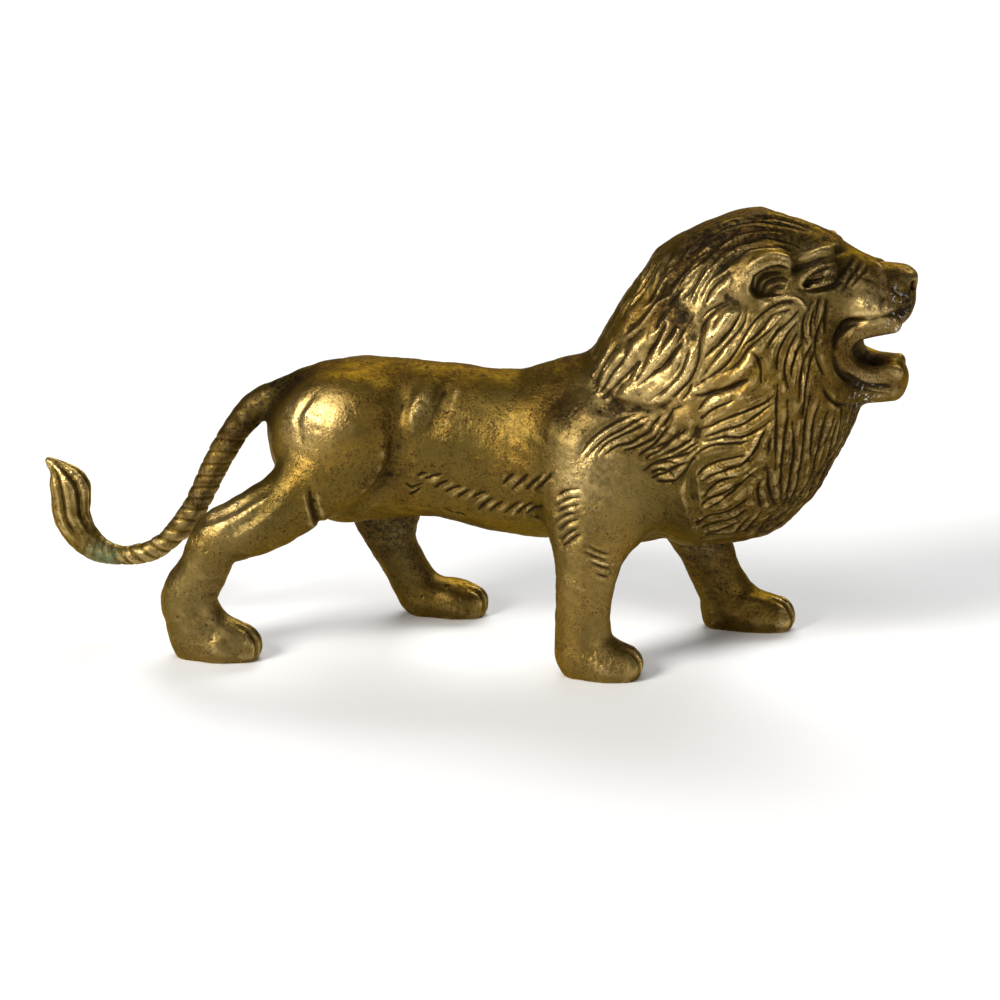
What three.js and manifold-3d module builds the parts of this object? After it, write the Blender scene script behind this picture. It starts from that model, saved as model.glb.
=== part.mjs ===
// A cast brass lion, walking, with its mouth open and its tail carried low and curled up at the tuft.
// The figure is one casting. Its form is a field that says how far a point is from the skin, made of
// masses that flow into each other. The locks, folds, toes and bands are raised or cut along lines
// that run over that form. The form is given in shares: a share is a hundredth of the figure's length.
// +X is forward, +Y is the lion's left and +Z is up. The soles stand on z = 0.

import * as THREE from 'three';
import { edgeTable, triTable } from 'three/addons/objects/MarchingCubes.js';
import { mergeVertices } from 'three/addons/utils/BufferGeometryUtils.js';
import Module from 'manifold-3d';

// Driving dimensions

const LENGTH = 250; // mm, from the tuft of the tail to the nose
const SHARE = LENGTH / 100; // mm in a share
const SKIN_STEP = 0.5; // shares between the points that first find the skin
const SKIN_TRIANGLES = 9200; // triangles that the thinned skin keeps

const LOCK_HEIGHT = 0.56; // how far a lock stands up from its valleys, as a share of its half width
const LOCK_LENGTH = 12; // shares from a lock's root to its tip
const LOCK_WIDE = 1.5; // half width of a lock on the neck, the widest
const LOCK_FINE = 0.9; // half width of a lock by the face and on the chest
const LOCK_CHANGE = [26, 36]; // x between which the wide locks give way to the fine ones
const LOCK_SUNK = 0.3; // shares that the valleys lie below the smooth mane
const LOCK_ROOTS = 1200; // places tried over the whole mane for the root of a lock
const LOCK_GAP = 1.15; // half widths that a root keeps from the locks before it
const LOCK_SWAY = 0.22; // how far a lock leans to the side as it runs
const LOCK_MEET = 0.62; // half widths from another lock at which a lock ends

const BRASS_COLOUR = 0x8a6a2f;
const BRASS_ROUGHNESS = 0.38;
const BRASS_METALNESS = 1;

// Masses of the figure. A station is x, y and z of the middle line, then the half height and the
// half width of the section there.

const TORSO = [
  [-17.4, 0, 22.1, 8.6, 6.9],
  [-15.0, 0, 23.2, 9.4, 7.6],
  [-10.0, 0, 23.8, 9.3, 7.6],
  [-3.7, 0, 23.9, 8.9, 7.3],
  [1.0, 0, 23.3, 9.1, 7.5],
  [6.5, 0, 22.8, 9.6, 8.0],
  [12.0, 0, 23.6, 10.4, 9.0],
  [18.0, 0, 24.3, 11.4, 9.4],
];

const HIND_LEG_RIGHT = [
  [-16.4, -6.2, 20.6, 4.2, 3.6],
  [-20.3, -7.6, 17.5, 3.9, 3.6],
  [-24.2, -8.8, 15.4, 3.6, 3.2],
  [-27.6, -9.5, 13.8, 3.2, 3.0],
  [-29.2, -9.7, 10.4, 2.85, 2.9],
  [-31.0, -9.8, 7.0, 3.2, 2.9],
  [-30.3, -9.8, 4.3, 3.2, 2.9],
];

const HIND_LEG_LEFT = [
  [-11.5, 5.4, 18.5, 5.8, 3.8],
  [-11.4, 7.0, 13.6, 4.2, 3.5],
  [-10.9, 8.5, 9.4, 2.9, 3.0],
  [-9.4, 9.5, 5.6, 2.5, 2.7],
  [-7.8, 9.8, 2.4, 2.6, 2.7],
];

const FRONT_LEG_RIGHT = [
  [15.4, -7.2, 21.0, 5.7, 3.8],
  [14.8, -8.5, 17.0, 5.0, 3.5],
  [14.4, -9.3, 12.6, 3.6, 3.2],
  [13.9, -9.6, 7.6, 3.1, 3.0],
  [14.1, -9.8, 3.4, 3.2, 3.0],
];

const FRONT_LEG_LEFT = [
  [22.4, 5.6, 19.6, 4.9, 3.8],
  [24.1, 7.0, 15.0, 4.3, 3.5],
  [25.6, 8.4, 10.6, 3.4, 3.1],
  [27.1, 9.4, 6.4, 3.0, 2.8],
  [28.9, 9.8, 3.2, 3.0, 2.8],
];

// Paws: middle of the heel and of the toes, side offset, and half width and half height of the pad
const PAWS = [
  { heel: -30.7, toes: -25.3, side: -9.8, wide: 3.3, high: 2.9 },
  { heel: -6.8, toes: -2.0, side: 9.8, wide: 3.1, high: 2.6 },
  { heel: 13.9, toes: 18.5, side: -9.9, wide: 3.4, high: 2.6 },
  { heel: 27.7, toes: 33.8, side: 9.9, wide: 3.2, high: 2.8 },
];
const PAW_TAPER = 0.8; // how much narrower the heel is than the pad
const TOE_GROOVES = {
  offsets: [-1.35, 0, 1.35],
  front: 2.6,
  start: -20,
  turn: 20,
  points: 6,
  wide: 0.6,
  depth: 0.5,
};

const TAIL = [
  [-19.2, 0, 29.4, 1.9, 1.9],
  [-24.4, 0, 27.3, 1.75, 1.7],
  [-27.9, 0, 23.2, 1.6, 1.6],
  [-30.5, 0, 18.4, 1.5, 1.4],
  [-32.7, 0, 14.0, 1.4, 1.3],
  [-36.3, 0, 9.9, 1.25, 1.15],
  [-40.6, 0, 8.4, 1.15, 1.1],
  [-44.5, 0, 9.4, 1.65, 1.5],
  [-46.8, 0, 12.7, 2.2, 1.9],
  [-47.0, 0, 16.3, 2.4, 1.9],
  [-48.0, 0, 18.2, 1.4, 1.3],
  [-49.4, 0, 19.5, 0.5, 0.6],
];
const TAIL_BANDS = { count: 22, start: 0.1, end: 0.68, lean: 0.015, points: 13, wide: 0.5, depth: 0.17 };
const TUFT_FLUTES = { count: 7, start: 0.68, end: 0.96, points: 9, curl: 0.3, wide: 0.6, depth: 0.35 };

// How far the end of a row of sections bulges, as a share of the last section's smaller half size
const RUMP_END = 0.75;
const MUZZLE_END = 0.75;
const JAW_END = 0.75;

// Rounded masses: middle, half lengths along x, y and z, and forward lean in degrees
const THIGH_RIGHT = { middle: [-13.7, -4.0, 24.4], radii: [8.5, 5.5, 8.2], lean: 12 };
const THIGH_LEFT = { middle: [-12.8, 4.0, 23.9], radii: [8.7, 5.3, 8.4], lean: 0 };
const SHOULDER_RIGHT = { middle: [15.2, -6.6, 22.4], radii: [7.4, 4.6, 9.2], lean: -8 };
const SHOULDER_LEFT = { middle: [20.6, 6.2, 21.4], radii: [7.2, 4.6, 8.8], lean: 12 };
const NOSE = { middle: [47.5, 0, 44.5], radii: [2.2, 2.1, 1.5], lean: 0 };
const MUZZLE = { middle: [44.6, 1.9, 41.4], radii: [3.6, 2.9, 2.6], lean: 8 };
const BROW = { middle: [38.5, 4.0, 47.0], radii: [2.6, 1.5, 0.9], lean: -22 };
const EYE = { middle: [39.2, 4.5, 45.6], radii: [2.2, 1.4, 1.3], lean: -25 };
const EAR = { middle: [33.1, 6.6, 46.3], radii: [3.5, 2.5, 3.0], lean: -14 };

// Hollows, given in the same way
const EYE_SLIT = { middle: [38.9, 6.1, 45.4], radii: [1.9, 0.7, 0.5], lean: -26 };
const EAR_HOLLOW = { middle: [34.2, 9.2, 46.0], radii: [2.5, 1.7, 1.9], lean: -14 };
const NOSTRIL = { middle: [49.4, 1.2, 44.0], radii: [0.9, 0.6, 0.6], lean: 0 };
const MOUTH_CORNER = { middle: [45.0, 4.6, 37.0], radii: [2.1, 2.6, 1.35], lean: 0 };

const HEAD = [
  [32.0, 0, 45.0, 6.2, 6.0],
  [36.5, 0, 44.2, 6.1, 5.9],
  [40.5, 0, 43.0, 5.1, 5.0],
  [44.0, 0, 42.5, 4.1, 4.1],
  [46.9, 0, 42.3, 3.4, 3.4],
];

const JAW = [
  [39.5, 0, 34.6, 3.6, 4.6],
  [43.6, 0, 33.0, 2.9, 3.5],
  [47.0, 0, 33.2, 2.6, 3.0],
];

// The lip runs along the muzzle, round the corner of the mouth and out along the jaw
const LIP = [
  [47.3, 3.0, 40.0, 1.0, 0.9],
  [44.8, 3.7, 39.6, 1.0, 1.0],
  [42.5, 4.3, 38.6, 1.1, 1.1],
  [42.0, 4.5, 36.9, 1.1, 1.1],
  [43.0, 4.2, 35.0, 1.1, 1.1],
  [45.2, 3.4, 34.2, 1.0, 1.0],
  [47.6, 2.6, 34.4, 0.9, 0.9],
];

const MOUTH = [
  [48.0, 0, 37.1, 0.95, 14],
  [49.3, 0, 37.2, 1.4, 14],
  [52.5, 0, 37.6, 2.2, 14],
];

// Outline of the mane seen from the side, about its middle: x and z
const MANE_MIDDLE = [30, 33];
const MANE_OUTLINE = [
  [43.8, 33.5],
  [43.4, 28.8],
  [41.4, 24.0],
  [38.3, 18.6],
  [34.4, 15.1],
  [29.0, 13.6],
  [23.5, 13.4],
  [18.5, 18.5],
  [14.2, 25.5],
  [12.2, 32.0],
  [14.5, 36.8],
  [18.1, 43.0],
  [21.5, 47.3],
  [26.0, 50.0],
  [32.0, 51.7],
  [38.0, 49.2],
  [41.5, 45.0],
  [43.5, 39.0],
];
const MANE_REACH = 32; // shares from the middle of the mane to beyond its skin
const MANE_WIDE = 11.2;
const MANE_SWELL = 1; // shares that the curve through the outline can stand beyond its points
const MANE_FULLNESS = 2.35; // exponent of the mane's section, 2 being an ellipse
const FACE_CLEARING = { x: 44, z: 43, reach: 8, share: 0.26 };

// Edges of the mane seen from the side: z, then the x where the mane ends
const MANE_REAR = [[12, 26], [24.6, 26.6], [28, 25.8], [30.6, 16.4], [33, 13.5], [38, 13.5], [43, 16]];
const MANE_FACE = [[29, 60], [31, 43.5], [36, 40.2], [41, 39.0], [44, 37.4], [46, 36.6], [53, 36.4]];
const EAR_CLEARING = 0.4; // shares round the ear that bear no locks

// The way the mane flows, seen from the side: x and z, then the run of the hair there
const MANE_FLOW = [
  [33.0, 52.0, -1.0, -0.25],
  [26.5, 50.5, -0.9, -0.45],
  [25.5, 45.9, -0.7, -0.7],
  [20.1, 43.4, -0.5, -0.85],
  [20.1, 36.7, -0.6, -0.8],
  [15.7, 37.6, -0.45, -0.9],
  [26.7, 39.2, -0.6, -0.8],
  [31.0, 40.5, -0.6, -0.8],
  [37.6, 40.7, -0.5, -0.85],
  [35.5, 32.8, -0.8, -0.6],
  [26.8, 29.0, -0.85, -0.5],
  [31.2, 28.1, -0.85, -0.5],
  [29.1, 22.2, -0.85, -0.5],
  [29.2, 18.8, -0.9, -0.35],
  [41.0, 33.0, -0.2, -1.0],
  [37.9, 26.1, -0.4, -0.9],
  [35.8, 19.1, -0.6, -0.8],
  [22.4, 28.8, -0.75, -0.65],
  [16.9, 29.7, -0.7, -0.7],
];

// Lines seen from the side. A depth cuts the skin and a negative one raises it.
const FACE_LINES = [
  { points: [[36.3, 44.8], [38.7, 47.1], [41.6, 48.4]], wide: 0.7, depth: 0.4 },
  { points: [[48.6, 41.5], [45.8, 41.1], [42.6, 40.4], [41.4, 39.2], [41.1, 37.3]], wide: 0.7, depth: 0.4 },
  { points: [[41.1, 37.3], [41.7, 35.4], [43.2, 33.9], [45.0, 32.9], [47.3, 32.7]], wide: 0.7, depth: 0.4 },
  { points: [[46.6, 45.2], [47.6, 43.6], [48.7, 43.5]], wide: 0.5, depth: 0.3 },
  { points: [[36.8, 44.5], [38.4, 46.0], [41.0, 46.9]], wide: 0.5, depth: 0.3 },
];
const THIGH_LINES = [
  { points: [[-7.2, 31.0], [-7.5, 28.0], [-7.2, 24.0], [-8.0, 21.0], [-11.1, 17.8]], wide: 0.9, depth: 0.5 },
  { points: [[-16.8, 30.8], [-18.4, 28.2], [-18.0, 25.1]], wide: 0.6, depth: 0.3 },
  { points: [[-16.9, 20.4], [-16.4, 17.8], [-16.1, 15.0]], wide: 1.1, depth: 0.8 },
];
const SHANK_LINES = [
  { points: [[-29.5, 16.0], [-25.6, 17.8], [-21.8, 20.0]], wide: 0.6, depth: 0.35 },
  { points: [[-25.9, 15.3], [-23.3, 17.0], [-20.9, 18.9]], wide: 0.6, depth: 0.3 },
];
const FLANK_LINES = [
  { points: [[-4.1, 31.8], [-4.9, 29.8], [-5.9, 27.4]], wide: 1.2, depth: -0.7 },
  { points: [[-2.2, 32.2], [-2.6, 30.1], [-3.5, 27.2]], wide: 0.9, depth: 0.5 },
  { points: [[-0.9, 32.4], [-1.2, 30.4]], wide: 0.9, depth: -0.3 },
];
const SHOULDER_LINES = [
  { points: [[21.3, 32.0], [16.9, 29.8], [13.0, 26.9], [11.3, 23.8], [10.6, 20.3]], wide: 0.8, depth: 0.4 },
  { points: [[23.0, 30.2], [18.6, 28.6], [14.9, 26.2], [13.0, 23.6], [12.0, 20.8]], wide: 0.7, depth: 0.3 },
  { points: [[24.6, 28.6], [20.6, 27.6], [17.4, 26.0]], wide: 0.7, depth: 0.3 },
  { points: [[25.8, 28.0], [26.6, 24.6], [27.0, 21.2], [26.0, 16.5]], wide: 0.9, depth: 0.5 },
];
const BELLY_FUR = {
  start: -8,
  end: 10,
  top: 20.2,
  drop: 2.8,
  spacing: 1.5,
  rows: 2,
  rowDrop: 2.1,
  run: 1.9,
  rise: 1.6,
  bow: 0.15,
  wide: 0.5,
  depth: 0.26,
};

// Field

class Chain {
  // A row of elliptical sections that follow a curve, closed with round ends
  constructor(stations, { steps = 3, capBack = 1, capFront = 1 } = {}) {
    const middle = stations.map((s) => new THREE.Vector3(s[0], s[1], s[2]));
    const sizes = stations.map((s) => new THREE.Vector3(s[3], s[4], 0));
    const path = new THREE.CatmullRomCurve3(middle, false, 'centripetal');
    const girth = new THREE.CatmullRomCurve3(sizes, false, 'centripetal');
    const count = (stations.length - 1) * steps;
    this.path = path;
    this.girth = girth;
    this.links = [];
    this.box = new THREE.Box3();
    const first = path.getPoint(0);
    const last = path.getPoint(1);
    for (let i = 0; i < count; i += 1) {
      const a = path.getPoint(i / count);
      const b = path.getPoint((i + 1) / count);
      const sizeA = girth.getPoint(i / count);
      const sizeB = girth.getPoint((i + 1) / count);
      const along = b.clone().sub(a);
      const length = along.length();
      along.divideScalar(length);
      const across = new THREE.Vector3(0, 1, 0).addScaledVector(along, -along.y).normalize();
      const up = new THREE.Vector3().crossVectors(across, along);
      const smallA = Math.min(sizeA.x, sizeA.y);
      const smallB = Math.min(sizeB.x, sizeB.y);
      const endA = Math.min(smallA, smallA * capBack + a.distanceTo(first));
      const endB = Math.min(smallB, smallB * capFront + b.distanceTo(last));
      const reach = length + Math.max(sizeA.x, sizeA.y, sizeB.x, sizeB.y, endA, endB);
      this.links.push({ a, along, across, up, length, reach, sizeA, sizeB, endA, endB });
      const most = Math.max(sizeA.x, sizeA.y, sizeB.x, sizeB.y, endA, endB);
      for (const end of [a, b]) {
        this.box.expandByPoint(end.clone().addScalar(most));
        this.box.expandByPoint(end.clone().subScalar(most));
      }
    }
  }

  distance(x, y, z) {
    let nearest = Infinity;
    for (const link of this.links) {
      const px = x - link.a.x;
      const py = y - link.a.y;
      const pz = z - link.a.z;
      if (length3(px, py, pz) - link.reach > nearest) continue;
      const t = px * link.along.x + py * link.along.y + pz * link.along.z;
      const held = Math.min(Math.max(t, 0), link.length);
      const f = held / link.length;
      const high = link.sizeA.x + (link.sizeB.x - link.sizeA.x) * f;
      const wide = link.sizeA.y + (link.sizeB.y - link.sizeA.y) * f;
      const end = t < 0 ? link.endA : link.endB;
      const u = (t - held) / end;
      const v = (px * link.across.x + py * link.across.y + pz * link.across.z) / wide;
      const w = (px * link.up.x + py * link.up.y + pz * link.up.z) / high;
      nearest = Math.min(nearest, ellipsoidDistance(u, v, w, end, wide, high));
    }
    return nearest;
  }

  around(t, turn) {
    // A point of the surface, at a share of the curve and a turn about it
    const size = this.girth.getPoint(t);
    const along = this.path.getTangent(t);
    const across = new THREE.Vector3(0, 1, 0).addScaledVector(along, -along.y).normalize();
    const up = new THREE.Vector3().crossVectors(across, along);
    const point = this.path.getPoint(t);
    point.addScaledVector(across, size.y * Math.cos(turn));
    point.addScaledVector(up, size.x * Math.sin(turn));
    return point.toArray();
  }
}

class Ball {
  // An ellipsoid, leaned forward about the y axis, on one side of the figure or the other
  constructor({ middle: [x, y, z], radii, lean }, side = 1) {
    this.middle = [x, side * y, z];
    this.radii = radii;
    this.cos = Math.cos(THREE.MathUtils.degToRad(lean));
    this.sin = Math.sin(THREE.MathUtils.degToRad(lean));
    const centre = new THREE.Vector3(...this.middle);
    const most = 2 * Math.max(...radii);
    this.box = new THREE.Box3().setFromCenterAndSize(centre, new THREE.Vector3(most, most, most));
  }

  distance(x, y, z) {
    const px = x - this.middle[0];
    const pz = z - this.middle[2];
    const u = (px * this.cos - pz * this.sin) / this.radii[0];
    const v = (y - this.middle[1]) / this.radii[1];
    const w = (px * this.sin + pz * this.cos) / this.radii[2];
    return ellipsoidDistance(u, v, w, this.radii[0], this.radii[1], this.radii[2]);
  }
}

class Mane {
  // A pillow whose side view is the mane's outline and whose section is a rounded lens
  constructor() {
    const outline = MANE_OUTLINE.map(([x, z]) => new THREE.Vector3(x, 0, z));
    const curve = new THREE.CatmullRomCurve3(outline, true, 'centripetal');
    const turns = curve.getPoints(720).map((p) => {
      const dx = p.x - MANE_MIDDLE[0];
      const dz = p.z - MANE_MIDDLE[1];
      return { angle: Math.atan2(dz, dx), reach: Math.hypot(dx, dz) };
    });
    turns.sort((a, b) => a.angle - b.angle);
    this.reach = new Float64Array(361);
    for (let i = 0; i <= 360; i += 1) {
      const angle = THREE.MathUtils.degToRad(i - 180);
      let j = turns.findIndex((turn) => turn.angle >= angle);
      if (j <= 0) j = 0;
      this.reach[i] = turns[j].reach;
    }
    this.box = new THREE.Box3().setFromPoints(outline);
    this.box.expandByScalar(MANE_SWELL);
    this.box.min.y = -MANE_WIDE - MANE_SWELL;
    this.box.max.y = MANE_WIDE + MANE_SWELL;
  }

  fill(x, y, z) {
    const dx = x - MANE_MIDDLE[0];
    const dz = z - MANE_MIDDLE[1];
    const turn = THREE.MathUtils.radToDeg(Math.atan2(dz, dx)) + 180;
    const i = Math.min(Math.floor(turn), 359);
    const reach = this.reach[i] + (this.reach[i + 1] - this.reach[i]) * (turn - i);
    const away = ((x - FACE_CLEARING.x) ** 2 + (z - FACE_CLEARING.z) ** 2) / FACE_CLEARING.reach ** 2;
    const wide = MANE_WIDE * (1 - FACE_CLEARING.share * Math.exp(-away));
    const side = length3(dx, 0, dz) / reach;
    return (side ** MANE_FULLNESS + (Math.abs(y) / wide) ** MANE_FULLNESS) ** (1 / MANE_FULLNESS) - 1;
  }

  distance(x, y, z) {
    const e = 0.02;
    const here = this.fill(x, y, z);
    const gx = (this.fill(x + e, y, z) - here) / e;
    const gy = (this.fill(x, y + e, z) - here) / e;
    const gz = (this.fill(x, y, z + e) - here) / e;
    return here / Math.max(length3(gx, gy, gz), 0.02);
  }
}

function length3(x, y, z) {
  return Math.sqrt(x * x + y * y + z * z);
}

function distance3(a, b) {
  return length3(a[0] - b[0], a[1] - b[1], a[2] - b[2]);
}

function ellipsoidDistance(u, v, w, a, b, c) {
  // Distance to an ellipsoid of radii a, b and c, where u, v and w are shares of those radii
  const k0 = length3(u, v, w);
  const k1 = length3(u / a, v / b, w / c);
  return k1 < 1e-9 ? -Math.min(a, b, c) : (k0 * (k0 - 1)) / k1;
}

function blend(a, b, fillet) {
  // The nearer of two distances, with a fillet where they are alike
  const h = Math.max(fillet - Math.abs(a - b), 0) / fillet;
  return Math.min(a, b) - h * h * fillet * 0.25;
}

const bothSides = (make) => [make(-1), make(1)];

const tail = new Chain(TAIL, { steps: 4 });

const MASSES = [
  { form: new Chain(TORSO, { capBack: RUMP_END }), fillet: 1 },
  { form: new Ball(THIGH_RIGHT), fillet: 0.9 },
  { form: new Ball(THIGH_LEFT), fillet: 0.9 },
  { form: new Chain(HIND_LEG_RIGHT), fillet: 1.6 },
  { form: new Chain(HIND_LEG_LEFT), fillet: 1.6 },
  { form: new Mane(), fillet: 0.9 },
  { form: new Ball(SHOULDER_RIGHT), fillet: 1.2 },
  { form: new Ball(SHOULDER_LEFT), fillet: 1.2 },
  { form: new Chain(FRONT_LEG_RIGHT), fillet: 1.8 },
  { form: new Chain(FRONT_LEG_LEFT), fillet: 1.8 },
  ...PAWS.map(({ heel, toes, side, wide, high }) => {
    const stations = [
      [heel, side, 0.7 * high, high, wide - PAW_TAPER],
      [heel + 0.6 * (toes - heel), side, 0.65 * high, high, wide],
      [toes, side, 0.55 * high, 0.9 * high, wide - 0.6 * PAW_TAPER],
    ];
    return { form: new Chain(stations), fillet: 1.4 };
  }),
  { form: new Chain(HEAD, { capFront: MUZZLE_END }), fillet: 1.4 },
  { form: new Ball(NOSE), fillet: 1.0 },
  ...bothSides((side) => ({ form: new Ball(MUZZLE, side), fillet: 0.8 })),
  { form: new Chain(JAW, { capFront: JAW_END }), fillet: 1.2 },
  ...bothSides((side) => {
    const stations = LIP.map(([x, y, z, high, wide]) => [x, side * y, z, high, wide]);
    return { form: new Chain(stations), fillet: 0.7 };
  }),
  ...bothSides((side) => ({ form: new Ball(EYE, side), fillet: 0.8 })),
  ...bothSides((side) => ({ form: new Ball(BROW, side), fillet: 0.8 })),
  ...bothSides((side) => ({ form: new Ball(EAR, side), fillet: 0.7 })),
  { form: tail, fillet: 1.0 },
];

const CUTS = [
  { form: new Chain(MOUTH), fillet: 0.5 },
  ...bothSides((side) => ({ form: new Ball(MOUTH_CORNER, side), fillet: 0.5 })),
  ...bothSides((side) => ({ form: new Ball(EAR_HOLLOW, side), fillet: 0.4 })),
  ...bothSides((side) => ({ form: new Ball(NOSTRIL, side), fillet: 0.3 })),
  ...bothSides((side) => ({ form: new Ball(EYE_SLIT, side), fillet: 0.3 })),
];

function figure(x, y, z) {
  let distance = 1e3;
  for (const { form, fillet } of MASSES) {
    if (boxDistance(form.box, x, y, z) > distance + fillet) continue;
    distance = blend(distance, form.distance(x, y, z), fillet);
  }
  for (const { form, fillet } of CUTS) {
    if (boxDistance(form.box, x, y, z) > fillet) continue;
    distance = -blend(-distance, form.distance(x, y, z), fillet);
  }
  return distance;
}

function boxDistance(box, x, y, z) {
  const dx = Math.max(box.min.x - x, x - box.max.x, 0);
  const dy = Math.max(box.min.y - y, y - box.max.y, 0);
  const dz = Math.max(box.min.z - z, z - box.max.z, 0);
  return length3(dx, dy, dz);
}

function slope(x, y, z) {
  // The way out of the figure, and how fast the field rises along it
  const e = 0.03;
  const gx = figure(x + e, y, z) - figure(x - e, y, z);
  const gy = figure(x, y + e, z) - figure(x, y - e, z);
  const gz = figure(x, y, z + e) - figure(x, y, z - e);
  const steep = length3(gx, gy, gz);
  return [gx / steep, gy / steep, gz / steep, steep / (2 * e)];
}

function settle(point, rounds = 2) {
  // Moves a point onto the skin and returns the way out there
  let way = slope(...point);
  for (let i = 0; i < rounds; i += 1) {
    const away = figure(...point) / Math.max(way[3], 0.4);
    for (let k = 0; k < 3; k += 1) point[k] -= way[k] * THREE.MathUtils.clamp(away, -1, 1);
    way = slope(...point);
  }
  return way;
}

// Carving

const GOLDEN_TURN = Math.PI * (3 - Math.sqrt(5));
const TRACE_STEP = 0.9; // shares between the points of a traced lock
const CAST_ROUNDS = 60; // steps that a cast towards the skin may take
const CAST_START = 16; // shares from the middle plane at which a cast from the side starts
const ROOT_SPREAD = 0.75; // how far the roots are cast from across the mane, as a share of along it
const CREST = { start: 0.5, end: 4.5, low: 36, share: 0.4 }; // band along the top where the locks are flatter

function along(pairs, at) {
  // Reads a value off a list of steps, straight between them
  const last = pairs.length - 1;
  if (at <= pairs[0][0]) return pairs[0][1];
  if (at >= pairs[last][0]) return pairs[last][1];
  const n = pairs.findIndex(([key]) => key > at);
  const [fromKey, from] = pairs[n - 1];
  const [toKey, to] = pairs[n];
  return from + ((to - from) * (at - fromKey)) / (toKey - fromKey);
}

function maneShare(x, y, z) {
  // 1 on the mane, 0 on the face, ear, shoulder and body, and between them at its edges
  const rear = THREE.MathUtils.smoothstep(x - along(MANE_REAR, z), 0, 1.6);
  const face = THREE.MathUtils.smoothstep(along(MANE_FACE, z) - x, 0, 1.6);
  const dx = (x - EAR.middle[0]) / (EAR.radii[0] + EAR_CLEARING);
  const dz = (z - EAR.middle[2]) / (EAR.radii[2] + EAR_CLEARING);
  const beside = Math.abs(y) > EAR.middle[1] - EAR.radii[1];
  const clear = beside ? THREE.MathUtils.smoothstep(length3(dx, 0, dz), 0.85, 1.15) : 1;
  return rear * face * clear;
}

function flowAt(x, z) {
  let dx = 0;
  let dz = 0;
  for (const [gx, gz, fx, fz] of MANE_FLOW) {
    const weight = 1 / ((x - gx) ** 2 + (z - gz) ** 2 + 4) ** 2;
    dx += fx * weight;
    dz += fz * weight;
  }
  const size = length3(dx, 0, dz);
  return [dx / size, 0, dz / size];
}

function castInward(from, to) {
  // The first point of the skin on the way from a point outside to one inside
  const gap = distance3(from, to);
  const way = from.map((value, k) => (to[k] - value) / gap);
  let run = 0;
  for (let n = 0; n < CAST_ROUNDS && run < gap; n += 1) {
    const away = figure(...from.map((value, k) => value + way[k] * run));
    if (away < 0.02) break;
    run += away * 0.8;
  }
  return from.map((value, k) => value + way[k] * run);
}

function traceLock(root, length, sway, isFree) {
  const line = [root];
  let point = root.slice();
  for (let run = 0; run < length; run += TRACE_STEP) {
    const out = settle(point, 1);
    const flow = flowAt(point[0], point[2]);
    const press = flow[0] * out[0] + flow[2] * out[2];
    const ahead = flow.map((value, k) => value - press * out[k]);
    const size = length3(...ahead);
    if (size < 0.15) break;
    const side = [
      (out[1] * ahead[2] - out[2] * ahead[1]) / size,
      (out[2] * ahead[0] - out[0] * ahead[2]) / size,
      (out[0] * ahead[1] - out[1] * ahead[0]) / size,
    ];
    const lean = sway * Math.cos((run / length) * Math.PI * 1.4);
    point = point.map((value, k) => value + (ahead[k] / size + side[k] * lean) * TRACE_STEP);
    settle(point, 1);
    if (maneShare(...point) < 0.25 || !isFree(point)) break;
    line.push(point.slice());
  }
  return line;
}

class Carving {
  // Lines over the skin, kept by the cell of space that they pass through
  constructor() {
    this.cells = new Map();
    this.reach = 2;
  }

  add(line, { wide, depth, kind = 'line' }) {
    for (let n = 0; n + 1 < line.length; n += 1) {
      const last = line.length - 1;
      const piece = { a: line[n], b: line[n + 1], from: n / last, to: (n + 1) / last, wide, depth, kind };
      const low = piece.a.map((value, k) => Math.floor((Math.min(value, piece.b[k]) - wide) / this.reach));
      const high = piece.a.map((value, k) => Math.floor((Math.max(value, piece.b[k]) + wide) / this.reach));
      for (let i = low[0]; i <= high[0]; i += 1) {
        for (let j = low[1]; j <= high[1]; j += 1) {
          for (let k = low[2]; k <= high[2]; k += 1) {
            const key = `${i},${j},${k}`;
            if (!this.cells.has(key)) this.cells.set(key, []);
            this.cells.get(key).push(piece);
          }
        }
      }
    }
  }

  lift(x, y, z) {
    // How far the skin is raised, or cut where negative, at a point of it
    const key = [x, y, z].map((value) => Math.floor(value / this.reach)).join();
    let lock = 0;
    let raised = 0;
    let cut = 0;
    for (const { a, b, from, to, wide, depth, kind } of this.cells.get(key) || []) {
      const d = [b[0] - a[0], b[1] - a[1], b[2] - a[2]];
      const p = [x - a[0], y - a[1], z - a[2]];
      const long = d[0] * d[0] + d[1] * d[1] + d[2] * d[2];
      const t = THREE.MathUtils.clamp((p[0] * d[0] + p[1] * d[1] + p[2] * d[2]) / long, 0, 1);
      const away = length3(p[0] - d[0] * t, p[1] - d[1] * t, p[2] - d[2] * t);
      const place = from + (to - from) * t;
      if (kind === 'lock') {
        const near = away / (wide * Math.sin(Math.PI * (0.12 + 0.85 * place)) ** 0.6);
        const high = depth * THREE.MathUtils.smoothstep(place, -0.1, 0.2) * (1 - 0.45 * place);
        if (near < 1) lock = Math.max(lock, high * (1 - near * near));
      } else if (away < wide) {
        const near = 1 - (away / wide) ** 2;
        const deep = depth * near * near * Math.sin(Math.PI * (0.06 + 0.88 * place)) ** 0.5;
        raised = Math.max(raised, -deep);
        cut = Math.max(cut, deep);
      }
    }
    return lock - LOCK_SUNK * maneShare(x, y, z) + raised - cut;
  }
}

function smoothLine(points) {
  const curve = new THREE.CatmullRomCurve3(points.map(([x, z]) => new THREE.Vector3(x, 0, z)));
  return curve.getPoints(points.length * 4).map((p) => [p.x, p.z]);
}

function carveSide(carving, lines, side, shift = 0) {
  for (const { points, wide, depth } of lines) {
    const line = smoothLine(points).map(([x, z]) => {
      return castInward([x + shift, side * CAST_START, z], [x + shift, 0, z]);
    });
    carving.add(line, { wide, depth });
  }
}

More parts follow.
